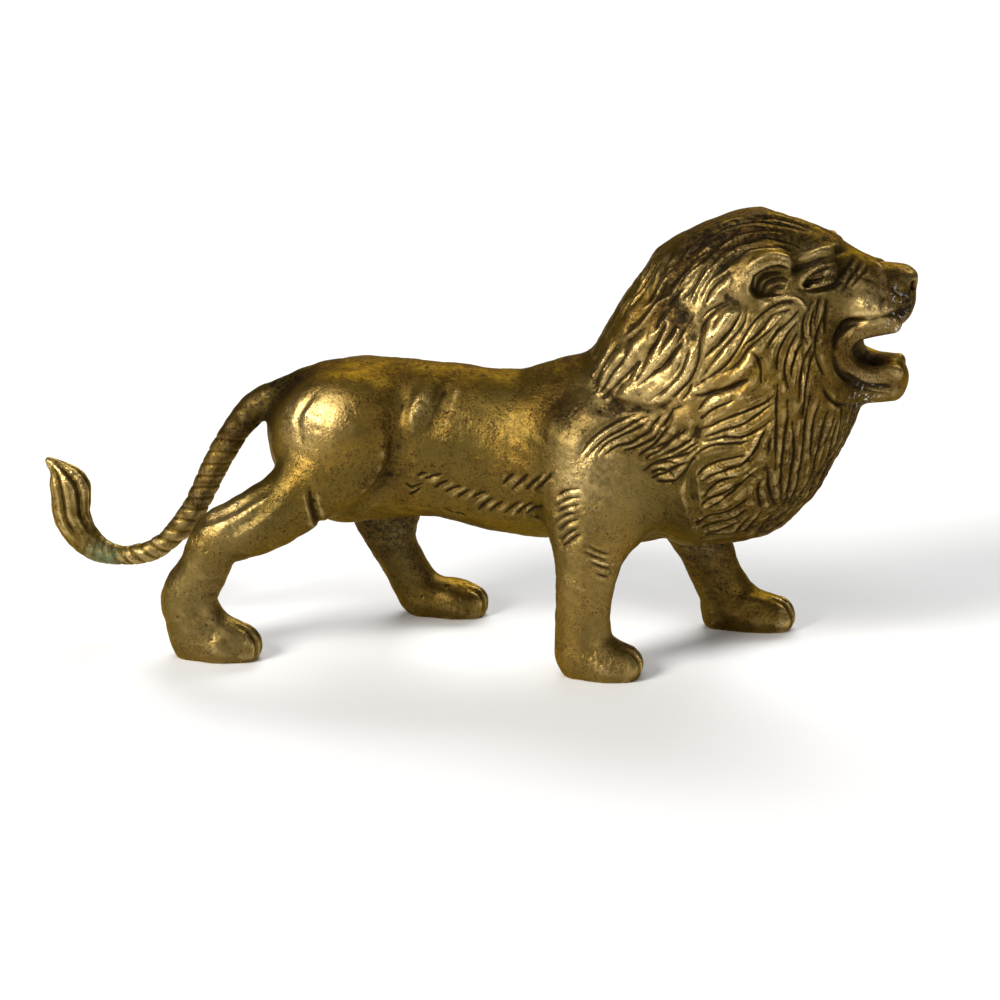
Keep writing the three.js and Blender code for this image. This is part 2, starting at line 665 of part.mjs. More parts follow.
function carveMane(carving) {
  const middle = [MANE_MIDDLE[0], 0, MANE_MIDDLE[1]];
  const laid = [];
  for (let n = 0; n < LOCK_ROOTS; n += 1) {
    const high = 1 - (2 * n + 1) / LOCK_ROOTS;
    const turn = n * GOLDEN_TURN;
    const flat = Math.sqrt(1 - high * high);
    const away = [flat * Math.cos(turn), ROOT_SPREAD * high, flat * Math.sin(turn)];
    const root = castInward(middle.map((value, k) => value + MANE_REACH * away[k]), middle);
    if (maneShare(...root) < 0.3) continue;
    const fine = THREE.MathUtils.smoothstep(root[0], LOCK_CHANGE[0], LOCK_CHANGE[1]);
    const wide = LOCK_WIDE + (LOCK_FINE - LOCK_WIDE) * fine;
    const isFree = (gap) => (point) => laid.every((other) => distance3(point, other) > gap * wide);
    if (!isFree(LOCK_GAP)(root)) continue;
    const length = LOCK_LENGTH * (0.8 + 0.4 * Math.sin(n * 2.4) ** 2);
    const line = traceLock(root, length, LOCK_SWAY * Math.sin(n * 1.7), isFree(LOCK_MEET));
    if (line.length < 4) continue;
    laid.push(...line);
    const beside = THREE.MathUtils.smoothstep(Math.abs(root[1]), CREST.start, CREST.end);
    const full = root[2] < CREST.low ? 1 : beside;
    const depth = LOCK_HEIGHT * wide * (CREST.share + (1 - CREST.share) * full);
    carving.add(line, { wide, depth, kind: 'lock' });
  }
}

function carveTail(carving) {
  const bands = TAIL_BANDS;
  for (let n = 0; n < bands.count; n += 1) {
    const t = bands.start + ((bands.end - bands.start) * n) / (bands.count - 1);
    const ring = [];
    for (let k = 0; k < bands.points; k += 1) {
      const turn = (k / (bands.points - 1)) * 2 * Math.PI;
      ring.push(tail.around(t + bands.lean * Math.sin(turn), turn));
    }
    carving.add(ring, { wide: bands.wide, depth: bands.depth });
  }
  const flutes = TUFT_FLUTES;
  for (let n = 0; n < flutes.count; n += 1) {
    const flute = [];
    for (let k = 0; k < flutes.points; k += 1) {
      const t = flutes.start + ((flutes.end - flutes.start) * k) / (flutes.points - 1);
      flute.push(tail.around(t, ((n + 0.5) / flutes.count) * 2 * Math.PI + flutes.curl * Math.sin(k / 3)));
    }
    carving.add(flute, { wide: flutes.wide, depth: flutes.depth });
  }
}

function carvePaws(carving) {
  const { offsets, front, start, turn, points, wide, depth } = TOE_GROOVES;
  for (const { toes, side, high } of PAWS) {
    for (const offset of offsets) {
      const line = [];
      for (let k = 0; k < points; k += 1) {
        const lean = THREE.MathUtils.degToRad(start + turn * k);
        const point = [toes + front * Math.cos(lean), side + offset, high * (0.6 + Math.sin(lean))];
        settle(point, 2);
        line.push(point);
      }
      carving.add(line, { wide, depth });
    }
  }
}

function carveBelly(carving, side) {
  const { start, end, top, drop, spacing, rows, rowDrop, run, rise, bow, wide, depth } = BELLY_FUR;
  for (let row = 0; row < rows; row += 1) {
    for (let x = start + 0.5 * spacing * row; x < end; x += spacing) {
      const z = top - (drop * (x - start)) / (end - start) - rowDrop * row;
      const points = [[x - run / 2, z - rise / 2], [x, z + bow], [x + run / 2, z + rise / 2]];
      carveSide(carving, [{ points, wide, depth }], side);
    }
  }
}

function carveFigure() {
  const carving = new Carving();
  carveMane(carving);
  carveTail(carving);
  carvePaws(carving);
  for (const side of [-1, 1]) {
    carveSide(carving, FACE_LINES, side);
    carveSide(carving, FLANK_LINES, side);
    carveBelly(carving, side);
  }
  carveSide(carving, [...THIGH_LINES, ...SHANK_LINES, ...SHOULDER_LINES], -1);
  carveSide(carving, THIGH_LINES, 1, 1.8);
  carveSide(carving, SHOULDER_LINES, 1);
  return carving;
}

// Skin

const CORNERS = [[0, 0, 0], [1, 0, 0], [1, 1, 0], [0, 1, 0], [0, 0, 1], [1, 0, 1], [1, 1, 1], [0, 1, 1]];
const EDGES = [[0, 1], [1, 2], [2, 3], [3, 0], [4, 5], [5, 6], [6, 7], [7, 4], [0, 4], [1, 5], [2, 6], [3, 7]];

// A cell's neighbour on each side, and the corners that it shares with it
const SIDES = [
  { step: [-1, 0, 0], shared: 0b10011001 },
  { step: [1, 0, 0], shared: 0b01100110 },
  { step: [0, -1, 0], shared: 0b00110011 },
  { step: [0, 1, 0], shared: 0b11001100 },
  { step: [0, 0, -1], shared: 0b00001111 },
  { step: [0, 0, 1], shared: 0b11110000 },
];

function findSkin() {
  // Follows the skin from cell to cell and returns its points and triangles
  const box = new THREE.Box3();
  for (const { form } of MASSES) box.union(form.box);
  box.expandByScalar(2 * SKIN_STEP);
  const size = box.getSize(new THREE.Vector3()).divideScalar(SKIN_STEP).ceil();
  const index = ([i, j, k]) => i + size.x * (j + size.y * k);
  const place = (node) => node.map((count, axis) => box.min.getComponent(axis) + count * SKIN_STEP);
  const known = new Float32Array(size.x * size.y * size.z).fill(NaN);
  const value = (node) => {
    const at = index(node);
    if (Number.isNaN(known[at])) known[at] = figure(...place(node)) || 1e-6;
    return known[at];
  };
  const points = [];
  const triangles = [];
  const crossings = new Map();
  const crossing = (cell, edge) => {
    const [from, to] = EDGES[edge].map((corner) => CORNERS[corner].map((c, axis) => c + cell[axis]));
    const low = index(from) < index(to) ? from : to;
    const key = index(low) * 3 + from.findIndex((c, n) => c !== to[n]);
    if (!crossings.has(key)) {
      const a = value(from);
      const t = THREE.MathUtils.clamp(a / (a - value(to)), 0.05, 0.95);
      const start = place(from);
      const end = place(to);
      crossings.set(key, points.length);
      points.push(start.map((c, n) => c + (end[n] - c) * t));
    }
    return crossings.get(key);
  };
  const top = castInward([0, 0, box.max.z], [0, 0, TORSO[0][2]]);
  const first = top.map((c, axis) => Math.floor((c - box.min.getComponent(axis)) / SKIN_STEP));
  const walked = new Uint8Array(known.length);
  const waiting = [first, [first[0], first[1], first[2] - 1]];
  while (waiting.length > 0) {
    const cell = waiting.pop();
    if (walked[index(cell)]) continue;
    walked[index(cell)] = 1;
    let bits = 0;
    CORNERS.forEach((corner, n) => {
      if (value(corner.map((c, axis) => c + cell[axis])) < 0) bits |= 1 << n;
    });
    if (edgeTable[bits] === 0) continue;
    for (let n = bits * 16; triTable[n] !== -1; n += 3) {
      triangles.push([triTable[n], triTable[n + 2], triTable[n + 1]].map((edge) => crossing(cell, edge)));
    }
    for (const { step, shared } of SIDES) {
      const inside = bits & shared;
      if (inside !== 0 && inside !== shared) waiting.push(cell.map((c, axis) => c + step[axis]));
    }
  }
  return { points, triangles };
}

// Thinning

class Thinner {
  // Joins the ends of the edges whose loss changes the form least, until few triangles are left
  constructor(points, triangles) {
    this.points = points;
    this.triangles = triangles;
    this.around = points.map(() => new Set());
    this.errors = points.map(() => new Float64Array(10));
    this.stamps = new Int32Array(points.length);
    this.alive = triangles.length;
    triangles.forEach((triangle, t) => {
      const [nx, ny, nz, area] = this.facing(triangle);
      const [x, y, z] = points[triangle[0]];
      const d = -(nx * x + ny * y + nz * z);
      const plane = [nx, ny, nz, d];
      for (const corner of triangle) {
        this.around[corner].add(t);
        let n = 0;
        for (let i = 0; i < 4; i += 1) {
          for (let j = i; j < 4; j += 1) {
            this.errors[corner][n] += plane[i] * plane[j] * area;
            n += 1;
          }
        }
      }
    });
    this.heap = [];
  }

  facing(triangle, moved = -1, to = null) {
    const [a, b, c] = triangle.map((corner) => (corner === moved ? to : this.points[corner]));
    const ux = b[0] - a[0];
    const uy = b[1] - a[1];
    const uz = b[2] - a[2];
    const vx = c[0] - a[0];
    const vy = c[1] - a[1];
    const vz = c[2] - a[2];
    const nx = uy * vz - uz * vy;
    const ny = uz * vx - ux * vz;
    const nz = ux * vy - uy * vx;
    const twice = length3(nx, ny, nz) || 1e-12;
    const wx = vx - ux;
    const wy = vy - uy;
    const wz = vz - uz;
    const longest = Math.max(length3(ux, uy, uz), length3(vx, vy, vz), length3(wx, wy, wz));
    return [nx / twice, ny / twice, nz / twice, twice / 2, twice / longest ** 2];
  }

  push(item) {
    const heap = this.heap;
    let at = heap.length;
    heap.push(item);
    while (at > 0) {
      const parent = (at - 1) >> 1;
      if (heap[parent].cost <= item.cost) break;
      heap[at] = heap[parent];
      at = parent;
    }
    heap[at] = item;
  }

  pop() {
    const heap = this.heap;
    const top = heap[0];
    const last = heap.pop();
    if (heap.length === 0) return top;
    let at = 0;
    for (;;) {
      let child = 2 * at + 1;
      if (child >= heap.length) break;
      if (child + 1 < heap.length && heap[child + 1].cost < heap[child].cost) child += 1;
      if (heap[child].cost >= last.cost) break;
      heap[at] = heap[child];
      at = child;
    }
    heap[at] = last;
    return top;
  }

  offer(a, b) {
    const q = this.errors[a].map((value, n) => value + this.errors[b][n]);
    const pa = this.points[a];
    const pb = this.points[b];
    const middle = pa.map((value, n) => (value + pb[n]) / 2);
    const edge = Math.hypot(pa[0] - pb[0], pa[1] - pb[1], pa[2] - pb[2]);
    const error = ([x, y, z]) => q[0] * x * x + 2 * q[1] * x * y + 2 * q[2] * x * z + 2 * q[3] * x
      + q[4] * y * y + 2 * q[5] * y * z + 2 * q[6] * y + q[7] * z * z + 2 * q[8] * z + q[9];
    const choices = [pa, pb, middle];
    const det = q[0] * (q[4] * q[7] - q[5] * q[5]) - q[1] * (q[1] * q[7] - q[5] * q[2])
      + q[2] * (q[1] * q[5] - q[4] * q[2]);
    if (Math.abs(det) > 1e-7) {
      const x = -(q[3] * (q[4] * q[7] - q[5] * q[5]) - q[1] * (q[6] * q[7] - q[5] * q[8])
        + q[2] * (q[6] * q[5] - q[4] * q[8])) / det;
      const y = -(q[0] * (q[6] * q[7] - q[5] * q[8]) - q[3] * (q[1] * q[7] - q[5] * q[2])
        + q[2] * (q[1] * q[8] - q[6] * q[2])) / det;
      const z = -(q[0] * (q[4] * q[8] - q[6] * q[5]) - q[1] * (q[1] * q[8] - q[6] * q[2])
        + q[3] * (q[1] * q[5] - q[4] * q[2])) / det;
      if (Math.hypot(x - middle[0], y - middle[1], z - middle[2]) < edge) choices.unshift([x, y, z]);
    }
    let best = choices[0];
    for (const choice of choices) if (error(choice) < error(best) - 1e-12) best = choice;
    const cost = Math.max(error(best), 0) + 1e-6 * edge * edge;
    this.push({ cost, a, b, to: best, stamp: this.stamps[a] + this.stamps[b] });
  }

  neighbours(vertex) {
    const found = new Set();
    for (const t of this.around[vertex]) for (const corner of this.triangles[t]) found.add(corner);
    found.delete(vertex);
    return found;
  }

  fits(from, other, to) {
    for (const t of this.around[from]) {
      const triangle = this.triangles[t];
      if (triangle.includes(other)) continue;
      const before = this.facing(triangle);
      const after = this.facing(triangle, from, to);
      const turn = before[0] * after[0] + before[1] * after[1] + before[2] * after[2];
      if (turn < 0.25 || after[4] < Math.min(0.08, before[4] * 0.9)) return false;
    }
    return true;
  }

  run(target) {
    this.triangles.forEach(([a, b, c]) => {
      for (const [from, to] of [[a, b], [b, c], [c, a]]) if (from < to) this.offer(from, to);
    });
    while (this.alive > target && this.heap.length > 0) {
      const { a, b, to, stamp } = this.pop();
      if (this.stamps[a] + this.stamps[b] !== stamp || !this.around[a].size || !this.around[b].size) continue;
      const nearA = this.neighbours(a);
      const nearB = this.neighbours(b);
      let shared = 0;
      for (const vertex of nearA) if (nearB.has(vertex)) shared += 1;
      if (shared !== 2 || !nearA.has(b) || !this.fits(a, b, to) || !this.fits(b, a, to)) continue;
      this.points[a] = to;
      for (const t of this.around[b]) {
        const triangle = this.triangles[t];
        if (triangle.includes(a)) {
          for (const corner of triangle) this.around[corner].delete(t);
          this.triangles[t] = null;
          this.alive -= 1;
        } else {
          triangle[triangle.indexOf(b)] = a;
          this.around[a].add(t);
        }
      }
      this.around[b].clear();
      this.errors[a] = this.errors[a].map((value, n) => value + this.errors[b][n]);
      this.stamps[a] += 1e5;
      this.stamps[b] += 1e5;
      for (const vertex of this.neighbours(a)) this.offer(a, vertex);
    }
  }

  result() {
    const numbers = new Map();
    const vertices = [];
    const faces = [];
    for (const triangle of this.triangles) {
      if (!triangle) continue;
      for (const corner of triangle) {
        if (!numbers.has(corner)) {
          numbers.set(corner, numbers.size);
          vertices.push(...this.points[corner]);
        }
        faces.push(numbers.get(corner));
      }
    }
    return { vertices, faces };
  }
}

// Solid

const wasm = await Module();
wasm.setup();

function toSolid(vertices, faces) {
  return new wasm.Manifold(new wasm.Mesh({
    numProp: 3,
    vertProperties: new Float32Array(vertices),
    triVerts: new Uint32Array(faces),
  }));
}

function geometryToSolid(geometry) {
  const bare = new THREE.BufferGeometry();
  bare.setAttribute('position', geometry.getAttribute('position'));
  bare.setIndex(geometry.getIndex());
  const merged = mergeVertices(bare);
  return toSolid(merged.getAttribute('position').array, merged.getIndex().array);
}

function makeLion() {
  const carving = carveFigure();
  const { points, triangles } = findSkin();
  for (const point of points) {
    const out = settle(point, 1);
    const lift = carving.lift(...point);
    for (let k = 0; k < 3; k += 1) point[k] += out[k] * lift;
  }
  const thinner = new Thinner(points, triangles);
  thinner.run(SKIN_TRIANGLES);
  const { vertices, faces } = thinner.result();
  const skin = toSolid(vertices.map((value) => value * SHARE), faces);
  const deep = 0.1 * LENGTH;
  const slab = new THREE.BoxGeometry(2 * LENGTH, LENGTH, deep).translate(0, 0, -deep / 2);
  return skin.subtract(geometryToSolid(slab));
}

const skin = makeLion();
const { vertProperties, triVerts } = skin.getMesh();
const geometry = new THREE.BufferGeometry();
geometry.setAttribute('position', new THREE.BufferAttribute(vertProperties, 3));
geometry.setIndex(new THREE.BufferAttribute(triVerts, 1));
geometry.computeVertexNormals();
const brass = new THREE.MeshStandardMaterial({
  color: BRASS_COLOUR,
  roughness: BRASS_ROUGHNESS,
  metalness: BRASS_METALNESS,
});
const lion = new THREE.Mesh(geometry, brass);
lion.name = 'lion';
const figurine = new THREE.Group();
figurine.add(lion);

export default figurine;
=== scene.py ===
"""A walking lion in cast brass: the worked skin, its aged finish, the floor and the light."""

import logging
import math
from dataclasses import dataclass, field
from enum import Enum

import bpy
import numpy as np
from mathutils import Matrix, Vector, kdtree


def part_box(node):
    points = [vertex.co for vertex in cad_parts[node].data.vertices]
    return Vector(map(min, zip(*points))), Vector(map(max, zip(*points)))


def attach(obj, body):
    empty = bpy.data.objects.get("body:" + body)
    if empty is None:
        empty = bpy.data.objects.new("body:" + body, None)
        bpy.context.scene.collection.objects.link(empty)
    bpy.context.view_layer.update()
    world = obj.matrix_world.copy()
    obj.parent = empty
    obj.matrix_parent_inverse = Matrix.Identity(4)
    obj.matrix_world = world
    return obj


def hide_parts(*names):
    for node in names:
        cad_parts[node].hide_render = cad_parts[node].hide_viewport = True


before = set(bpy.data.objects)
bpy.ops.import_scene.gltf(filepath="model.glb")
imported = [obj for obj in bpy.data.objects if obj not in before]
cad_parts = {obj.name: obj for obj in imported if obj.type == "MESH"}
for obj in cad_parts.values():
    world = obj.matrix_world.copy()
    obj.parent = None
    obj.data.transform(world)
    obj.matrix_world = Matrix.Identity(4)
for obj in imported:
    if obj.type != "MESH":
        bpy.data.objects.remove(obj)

logging.basicConfig(level=logging.INFO, format="%(message)s")
log = logging.getLogger("lion")

SHARE = 0.0025  # metres in a share, a hundredth of the figure's length
FAR = 1e3  # shares, farther than any place of the figure
SIDES = (-1, 1)  # the near side, which the picture shows, and the far side

Sections = tuple[tuple[float, ...], ...]
Outline = tuple[tuple[float, float], ...]
Fold = tuple[Outline, float, float]  # the x and z of its points, its width and its depth
Colour = tuple[float, float, float, float]


def smoothstep(value: np.ndarray, low: float, high: float) -> np.ndarray:
    """Ease a value from 0 at low to 1 at high.

    Args:
        value: The values to ease.
        low: Where the result leaves 0.
        high: Where the result reaches 1.

    Returns:
        The eased values, from 0 to 1.
    """
    t = np.clip((value - low) / (high - low), 0.0, 1.0)
    return t * t * (3.0 - 2.0 * t)


def lengths(vectors: np.ndarray) -> np.ndarray:
    """Measure each row of an array of vectors.

    Args:
        vectors: An array whose last axis holds the parts of a vector.

    Returns:
        The length of each vector.
    """
    return np.sqrt((vectors * vectors).sum(-1))


def ellipsoid_distance(shares: np.ndarray, radii: np.ndarray) -> np.ndarray:
    """Give the distance to an ellipsoid.

    Args:
        shares: Places as shares of the radii, one row each.
        radii: The three radii, one row or one row each.

    Returns:
        The distance from each place to the ellipsoid, negative inside.
    """
    k0 = lengths(shares)
    k1 = lengths(shares / radii)
    return k0 * (k0 - 1.0) / np.maximum(k1, 1e-9)


def blend(a: np.ndarray, b: np.ndarray, fillet: float) -> np.ndarray:
    """Take the nearer of two distances, with a fillet where they are alike.

    Args:
        a: Distances to the first form.
        b: Distances to the second form.
        fillet: Width of the fillet.

    Returns:
        The distances to the joined form.
    """
    h = np.maximum(fillet - np.abs(a - b), 0.0) / fillet
    return np.minimum(a, b) - h * h * fillet * 0.25


class Spline:
    """A smooth curve through points, with its speed eased where they lie close."""

    def __init__(self, points: np.ndarray, closed: bool = False) -> None:
        """Keep the points of the curve.

        Args:
            points: The points, one row each.
            closed: Whether the curve returns to its first point.
        """
        self.points = np.asarray(points, dtype=float)
        self.closed = closed

    def at(self, t: float) -> np.ndarray:
        """Give the point at a share of the curve.

        Args:
            t: The share, from 0 to 1.

        Returns:
            The point there.
        """
        p = self.points
        count = len(p)
        place = (count if self.closed else count - 1) * t
        first = int(math.floor(place))
        weight = place - first
        if not self.closed and weight == 0 and first == count - 1:
            first, weight = count - 2, 1.0
        a = p[(first - 1) % count] if self.closed or first > 0 else 2 * p[0] - p[1]
        b = p[first % count]
        c = p[(first + 1) % count]
        d = p[(first + 2) % count] if self.closed or first + 2 < count else 2 * p[-1] - p[-2]
        gaps = [max(float(((v - u) ** 2).sum()) ** 0.25, 1e-6) for u, v in ((a, b), (b, c), (c, d))]
        start = ((b - a) / gaps[0] - (c - a) / (gaps[0] + gaps[1]) + (c - b) / gaps[1]) * gaps[1]
        end = ((c - b) / gaps[1] - (d - b) / (gaps[1] + gaps[2]) + (d - c) / gaps[2]) * gaps[1]
        cubic = 2 * b - 2 * c + start + end
        square = -3 * b + 3 * c - 2 * start - end
        return b + weight * (start + weight * (square + weight * cubic))

    def many(self, count: int) -> np.ndarray:
        """Give evenly spaced shares of the curve.

        Args:
            count: How many steps there are.

        Returns:
            One more point than there are steps.
        """
        return np.array([self.at(n / count) for n in range(count + 1)])

    def heading(self, t: float) -> np.ndarray:
        """Give the way that the curve runs at a share of it.

        Args:
            t: The share, from 0 to 1.

        Returns:
            A vector of length 1.
        """
        way = self.at(min(t + 1e-4, 1.0)) - self.at(max(t - 1e-4, 0.0))
        return way / np.linalg.norm(way)


class Form:
    """A mass or a hollow of the figure, with the box that it fills."""

    low: np.ndarray
    high: np.ndarray

    def distance(self, points: np.ndarray) -> np.ndarray:
        """Give the distance from each point to the form.

        Args:
            points: Places in shares, one row each.

        Returns:
            The distances, negative inside.
        """
        raise NotImplementedError


class Chain(Form):
    """A row of elliptical sections that follow a curve, closed with round ends."""

    def __init__(
        self,
        stations: Sections,
        steps: int = 6,
        cap_back: float = 1.0,
        cap_front: float = 1.0,
    ) -> None:
        """Lay the links of the chain.

        Args:
            stations: Middle point, half height and half width of each section.
            steps: Links between two stations.
            cap_back: How far the first end bulges.
            cap_front: How far the last end bulges.
        """
        rows = np.asarray(stations, dtype=float)
        self.path = Spline(rows[:, :3])
        self.girth = Spline(np.pad(rows[:, 3:5], ((0, 0), (0, 1))))
        count = (len(rows) - 1) * steps
        middles = self.path.many(count)
        sizes = self.girth.many(count)[:, :2]
        self.links = []
        lows, highs = [], []
        for n in range(count):
            a, b = middles[n], middles[n + 1]
            size_a, size_b = sizes[n], sizes[n + 1]
            run = float(np.linalg.norm(b - a))
            along, across, up = self.axes((b - a) / run)
            small_a, small_b = float(min(size_a)), float(min(size_b))
            end_a = min(small_a, small_a * cap_back + float(np.linalg.norm(a - middles[0])))
            end_b = min(small_b, small_b * cap_front + float(np.linalg.norm(b - middles[-1])))
            most = max(*size_a, *size_b, end_a, end_b)
            self.links.append((a, np.stack([along, across, up], 1), run, size_a, size_b, end_a, end_b))
            lows.append(np.minimum(a, b) - most)
            highs.append(np.maximum(a, b) + most)
        self.low = np.min(lows, 0)
        self.high = np.max(highs, 0)

    @staticmethod
    def axes(along: np.ndarray) -> tuple[np.ndarray, np.ndarray, np.ndarray]:
        """Give the axes of a section that faces along a direction.

        Args:
            along: The direction.

        Returns:
            The direction, the way across and the way up.
        """
        across = np.array([0.0, 1.0, 0.0]) - along * along[1]
        across /= np.linalg.norm(across)
        return along, across, np.cross(across, along)

    def distance(self, points: np.ndarray) -> np.ndarray:
        """Give the distance from each point to the chain.

        Args:
            points: Places in shares, one row each.

        Returns:
            The distances, negative inside.
        """
        nearest = np.full(len(points), np.inf, dtype=points.dtype)
        for a, axes, run, size_a, size_b, end_a, end_b in self.links:
            local = (points - a.astype(points.dtype)) @ axes.astype(points.dtype)
            t = local[:, 0]
            held = np.clip(t, 0.0, run)
            f = held / run
            high = size_a[0] + (size_b[0] - size_a[0]) * f
            wide = size_a[1] + (size_b[1] - size_a[1]) * f
            end = np.where(t < 0, end_a, end_b)
            u = (t - held) / end
            v = local[:, 1] / wide
            w = local[:, 2] / high
            k0 = np.sqrt(u * u + v * v + w * w)
            k1 = np.sqrt((u / end) ** 2 + (v / wide) ** 2 + (w / high) ** 2)
            nearest = np.minimum(nearest, k0 * (k0 - 1.0) / np.maximum(k1, 1e-9))
        return nearest

    def around(self, t: float, turn: float) -> np.ndarray:
        """Give a point of the surface.

        Args:
            t: Share of the curve.
            turn: Angle about the curve, in radians.

        Returns:
            The point.
        """
        t = min(max(t, 0.0), 1.0)
        size = self.girth.at(t)
        _, across, up = self.axes(self.path.heading(t))
        return self.path.at(t) + across * size[1] * math.cos(turn) + up * size[0] * math.sin(turn)


@dataclass
class Ball(Form):
    """An ellipsoid, leaned forward about the y axis, on one side of the figure or the other."""

    middle: tuple[float, float, float]
    radii: tuple[float, float, float]
    lean: float = 0.0
    side: int = 1

    def __post_init__(self) -> None:
        """Work out the middle, the turn and the box."""
        self.centre = np.array([self.middle[0], self.side * self.middle[1], self.middle[2]])
        cos, sin = math.cos(math.radians(self.lean)), math.sin(math.radians(self.lean))
        self.turn = np.array([[cos, 0, sin], [0, 1, 0], [-sin, 0, cos]])
        self.low = self.centre - max(self.radii)
        self.high = self.centre + max(self.radii)

    def distance(self, points: np.ndarray) -> np.ndarray:
        """Give the distance from each point to the ball.

        Args:
            points: Places in shares, one row each.

        Returns:
            The distances, negative inside.
        """
        radii = np.array(self.radii, dtype=points.dtype)
        local = (points - self.centre.astype(points.dtype)) @ self.turn.astype(points.dtype)
        return ellipsoid_distance(local / radii, radii)


@dataclass
class Mane(Form):
    """A pillow whose side view is the mane's outline and whose section is a rounded lens."""

    middle: tuple[float, float] = (30, 33)
    outline: Outline = (
        (43.8, 33.5),
        (43.4, 28.8),
        (41.4, 24.0),
        (38.3, 18.6),
        (34.4, 15.1),
        (29.0, 13.6),
        (23.5, 13.4),
        (18.5, 18.5),
        (14.2, 25.5),
        (12.2, 32.0),
        (14.5, 36.8),
        (18.1, 43.0),
        (21.5, 47.3),
        (26.0, 50.0),
        (32.0, 51.7),
        (38.0, 49.2),
        (41.5, 45.0),
        (43.5, 39.0),
    )
    wide: float = 11.2
    swell: float = 1
    fullness: float = 2.35
    clearing: tuple[float, float, float, float] = (44, 43, 8, 0.26)
    rear: Outline = (
        (12, 26),
        (24.6, 26.6),
        (28, 25.8),
        (30.6, 16.4),
        (33, 13.5),
        (38, 13.5),
        (43, 16),
    )
    face: Outline = (
        (29, 60),
        (31, 43.5),
        (36, 40.2),
        (41, 39.0),
        (44, 37.4),
        (46, 36.6),
        (53, 36.4),
    )
    ear: tuple[float, float, float] = (33.1, 6.6, 46.3)
    ear_size: tuple[float, float, float] = (3.5, 2.5, 3.0)
    ear_clearing: float = 0.4
    edge: float = 1.6
    ear_edge: tuple[float, float] = (0.85, 1.15)
    flow: Sections = (
        (33.0, 52.0, -1.0, -0.25),
        (26.5, 50.5, -0.9, -0.45),
        (25.5, 45.9, -0.7, -0.7),
        (20.1, 43.4, -0.5, -0.85),
        (20.1, 36.7, -0.6, -0.8),
        (15.7, 37.6, -0.45, -0.9),
        (26.7, 39.2, -0.6, -0.8),
        (31.0, 40.5, -0.6, -0.8),
        (37.6, 40.7, -0.5, -0.85),
        (35.5, 32.8, -0.8, -0.6),
        (26.8, 29.0, -0.85, -0.5),
        (31.2, 28.1, -0.85, -0.5),
        (29.1, 22.2, -0.85, -0.5),
        (29.2, 18.8, -0.9, -0.35),
        (41.0, 33.0, -0.2, -1.0),
        (37.9, 26.1, -0.4, -0.9),
        (35.8, 19.1, -0.6, -0.8),
        (22.4, 28.8, -0.75, -0.65),
        (16.9, 29.7, -0.7, -0.7),
    )

    def __post_init__(self) -> None:
        """Read the reach of the outline at each degree, and the box."""
        points = np.array([[x, 0.0, z] for x, z in self.outline])
        curve = Spline(points, closed=True).many(720)
        dx, dz = curve[:, 0] - self.middle[0], curve[:, 2] - self.middle[1]
        angle, reach = np.arctan2(dz, dx), np.hypot(dx, dz)
        order = np.argsort(angle, kind="stable")
        angle, reach = angle[order], reach[order]
        wanted = np.radians(np.arange(361) - 180)
        found = np.searchsorted(angle, wanted)
        self.reach = reach[np.where(found >= len(angle), 0, found)]
        self.low = points.min(0) - self.swell
        self.high = points.max(0) + self.swell
        self.low[1] = -self.wide - self.swell
        self.high[1] = self.wide + self.swell

    def fill(self, points: np.ndarray) -> np.ndarray:
        """Give how full the pillow is at each point.

        Args:
            points: Places in shares, one row each.

        Returns:
            0 on its skin, -1 in its middle and more than 0 outside.
        """
        x, y, z = points.T
        dx, dz = x - self.middle[0], z - self.middle[1]
        turn = np.degrees(np.arctan2(dz, dx)) + 180
        i = np.minimum(turn.astype(int), 359)
        reach = self.reach[i] + (self.reach[i + 1] - self.reach[i]) * (turn - i)
        cx, cz, size, share = self.clearing
        away = ((x - cx) ** 2 + (z - cz) ** 2) / size**2
        wide = self.wide * (1 - share * np.exp(-away))
        side = np.hypot(dx, dz) / reach
        total = side**self.fullness + (np.abs(y) / wide) ** self.fullness
        return total ** (1 / self.fullness) - 1

    def distance(self, points: np.ndarray) -> np.ndarray:
        """Give the distance from each point to the mane.

        Args:
            points: Places in shares, one row each.

        Returns:
            The distances, negative inside.
        """
        step = 0.02
        flattest = 0.02
        points = points.astype(float)
        here = self.fill(points)
        rises = [self.fill(points + step * np.eye(3)[axis]) - here for axis in range(3)]
        return here / np.maximum(lengths(np.stack(rises, 1)) / step, flattest)

    def share(self, points: np.ndarray) -> np.ndarray:
        """Tell the mane from the face, the ears, the shoulders and the body.

        Args:
            points: Places on the skin, one row each.

        Returns:
            1 on the mane, 0 off it, and between them at its edges.
        """
        x, y, z = points.T
        rear = smoothstep(x - np.interp(z, *np.transpose(self.rear)), 0, self.edge)
        face = smoothstep(np.interp(z, *np.transpose(self.face)) - x, 0, self.edge)
        dx = (x - self.ear[0]) / (self.ear_size[0] + self.ear_clearing)
        dz = (z - self.ear[2]) / (self.ear_size[2] + self.ear_clearing)
        clear = smoothstep(np.hypot(dx, dz), *self.ear_edge)
        beside = np.abs(y) > self.ear[1] - self.ear_size[1]
        return rear * face * np.where(beside, clear, 1.0)

    def run_of_hair(self, points: np.ndarray) -> np.ndarray:
        """Give the way that the hair runs at each place, seen from the side.

        Args:
            points: Places in shares, one row each.

        Returns:
            Vectors of length 1, one row each.
        """
        x, z = points[:, 0:1], points[:, 2:3]
        guides = np.array(self.flow)
        weight = 1 / ((x - guides[:, 0]) ** 2 + (z - guides[:, 1]) ** 2 + 4) ** 2
        way = np.stack([weight @ guides[:, 2], np.zeros(len(points)), weight @ guides[:, 3]], 1)
        return way / lengths(way)[:, None]


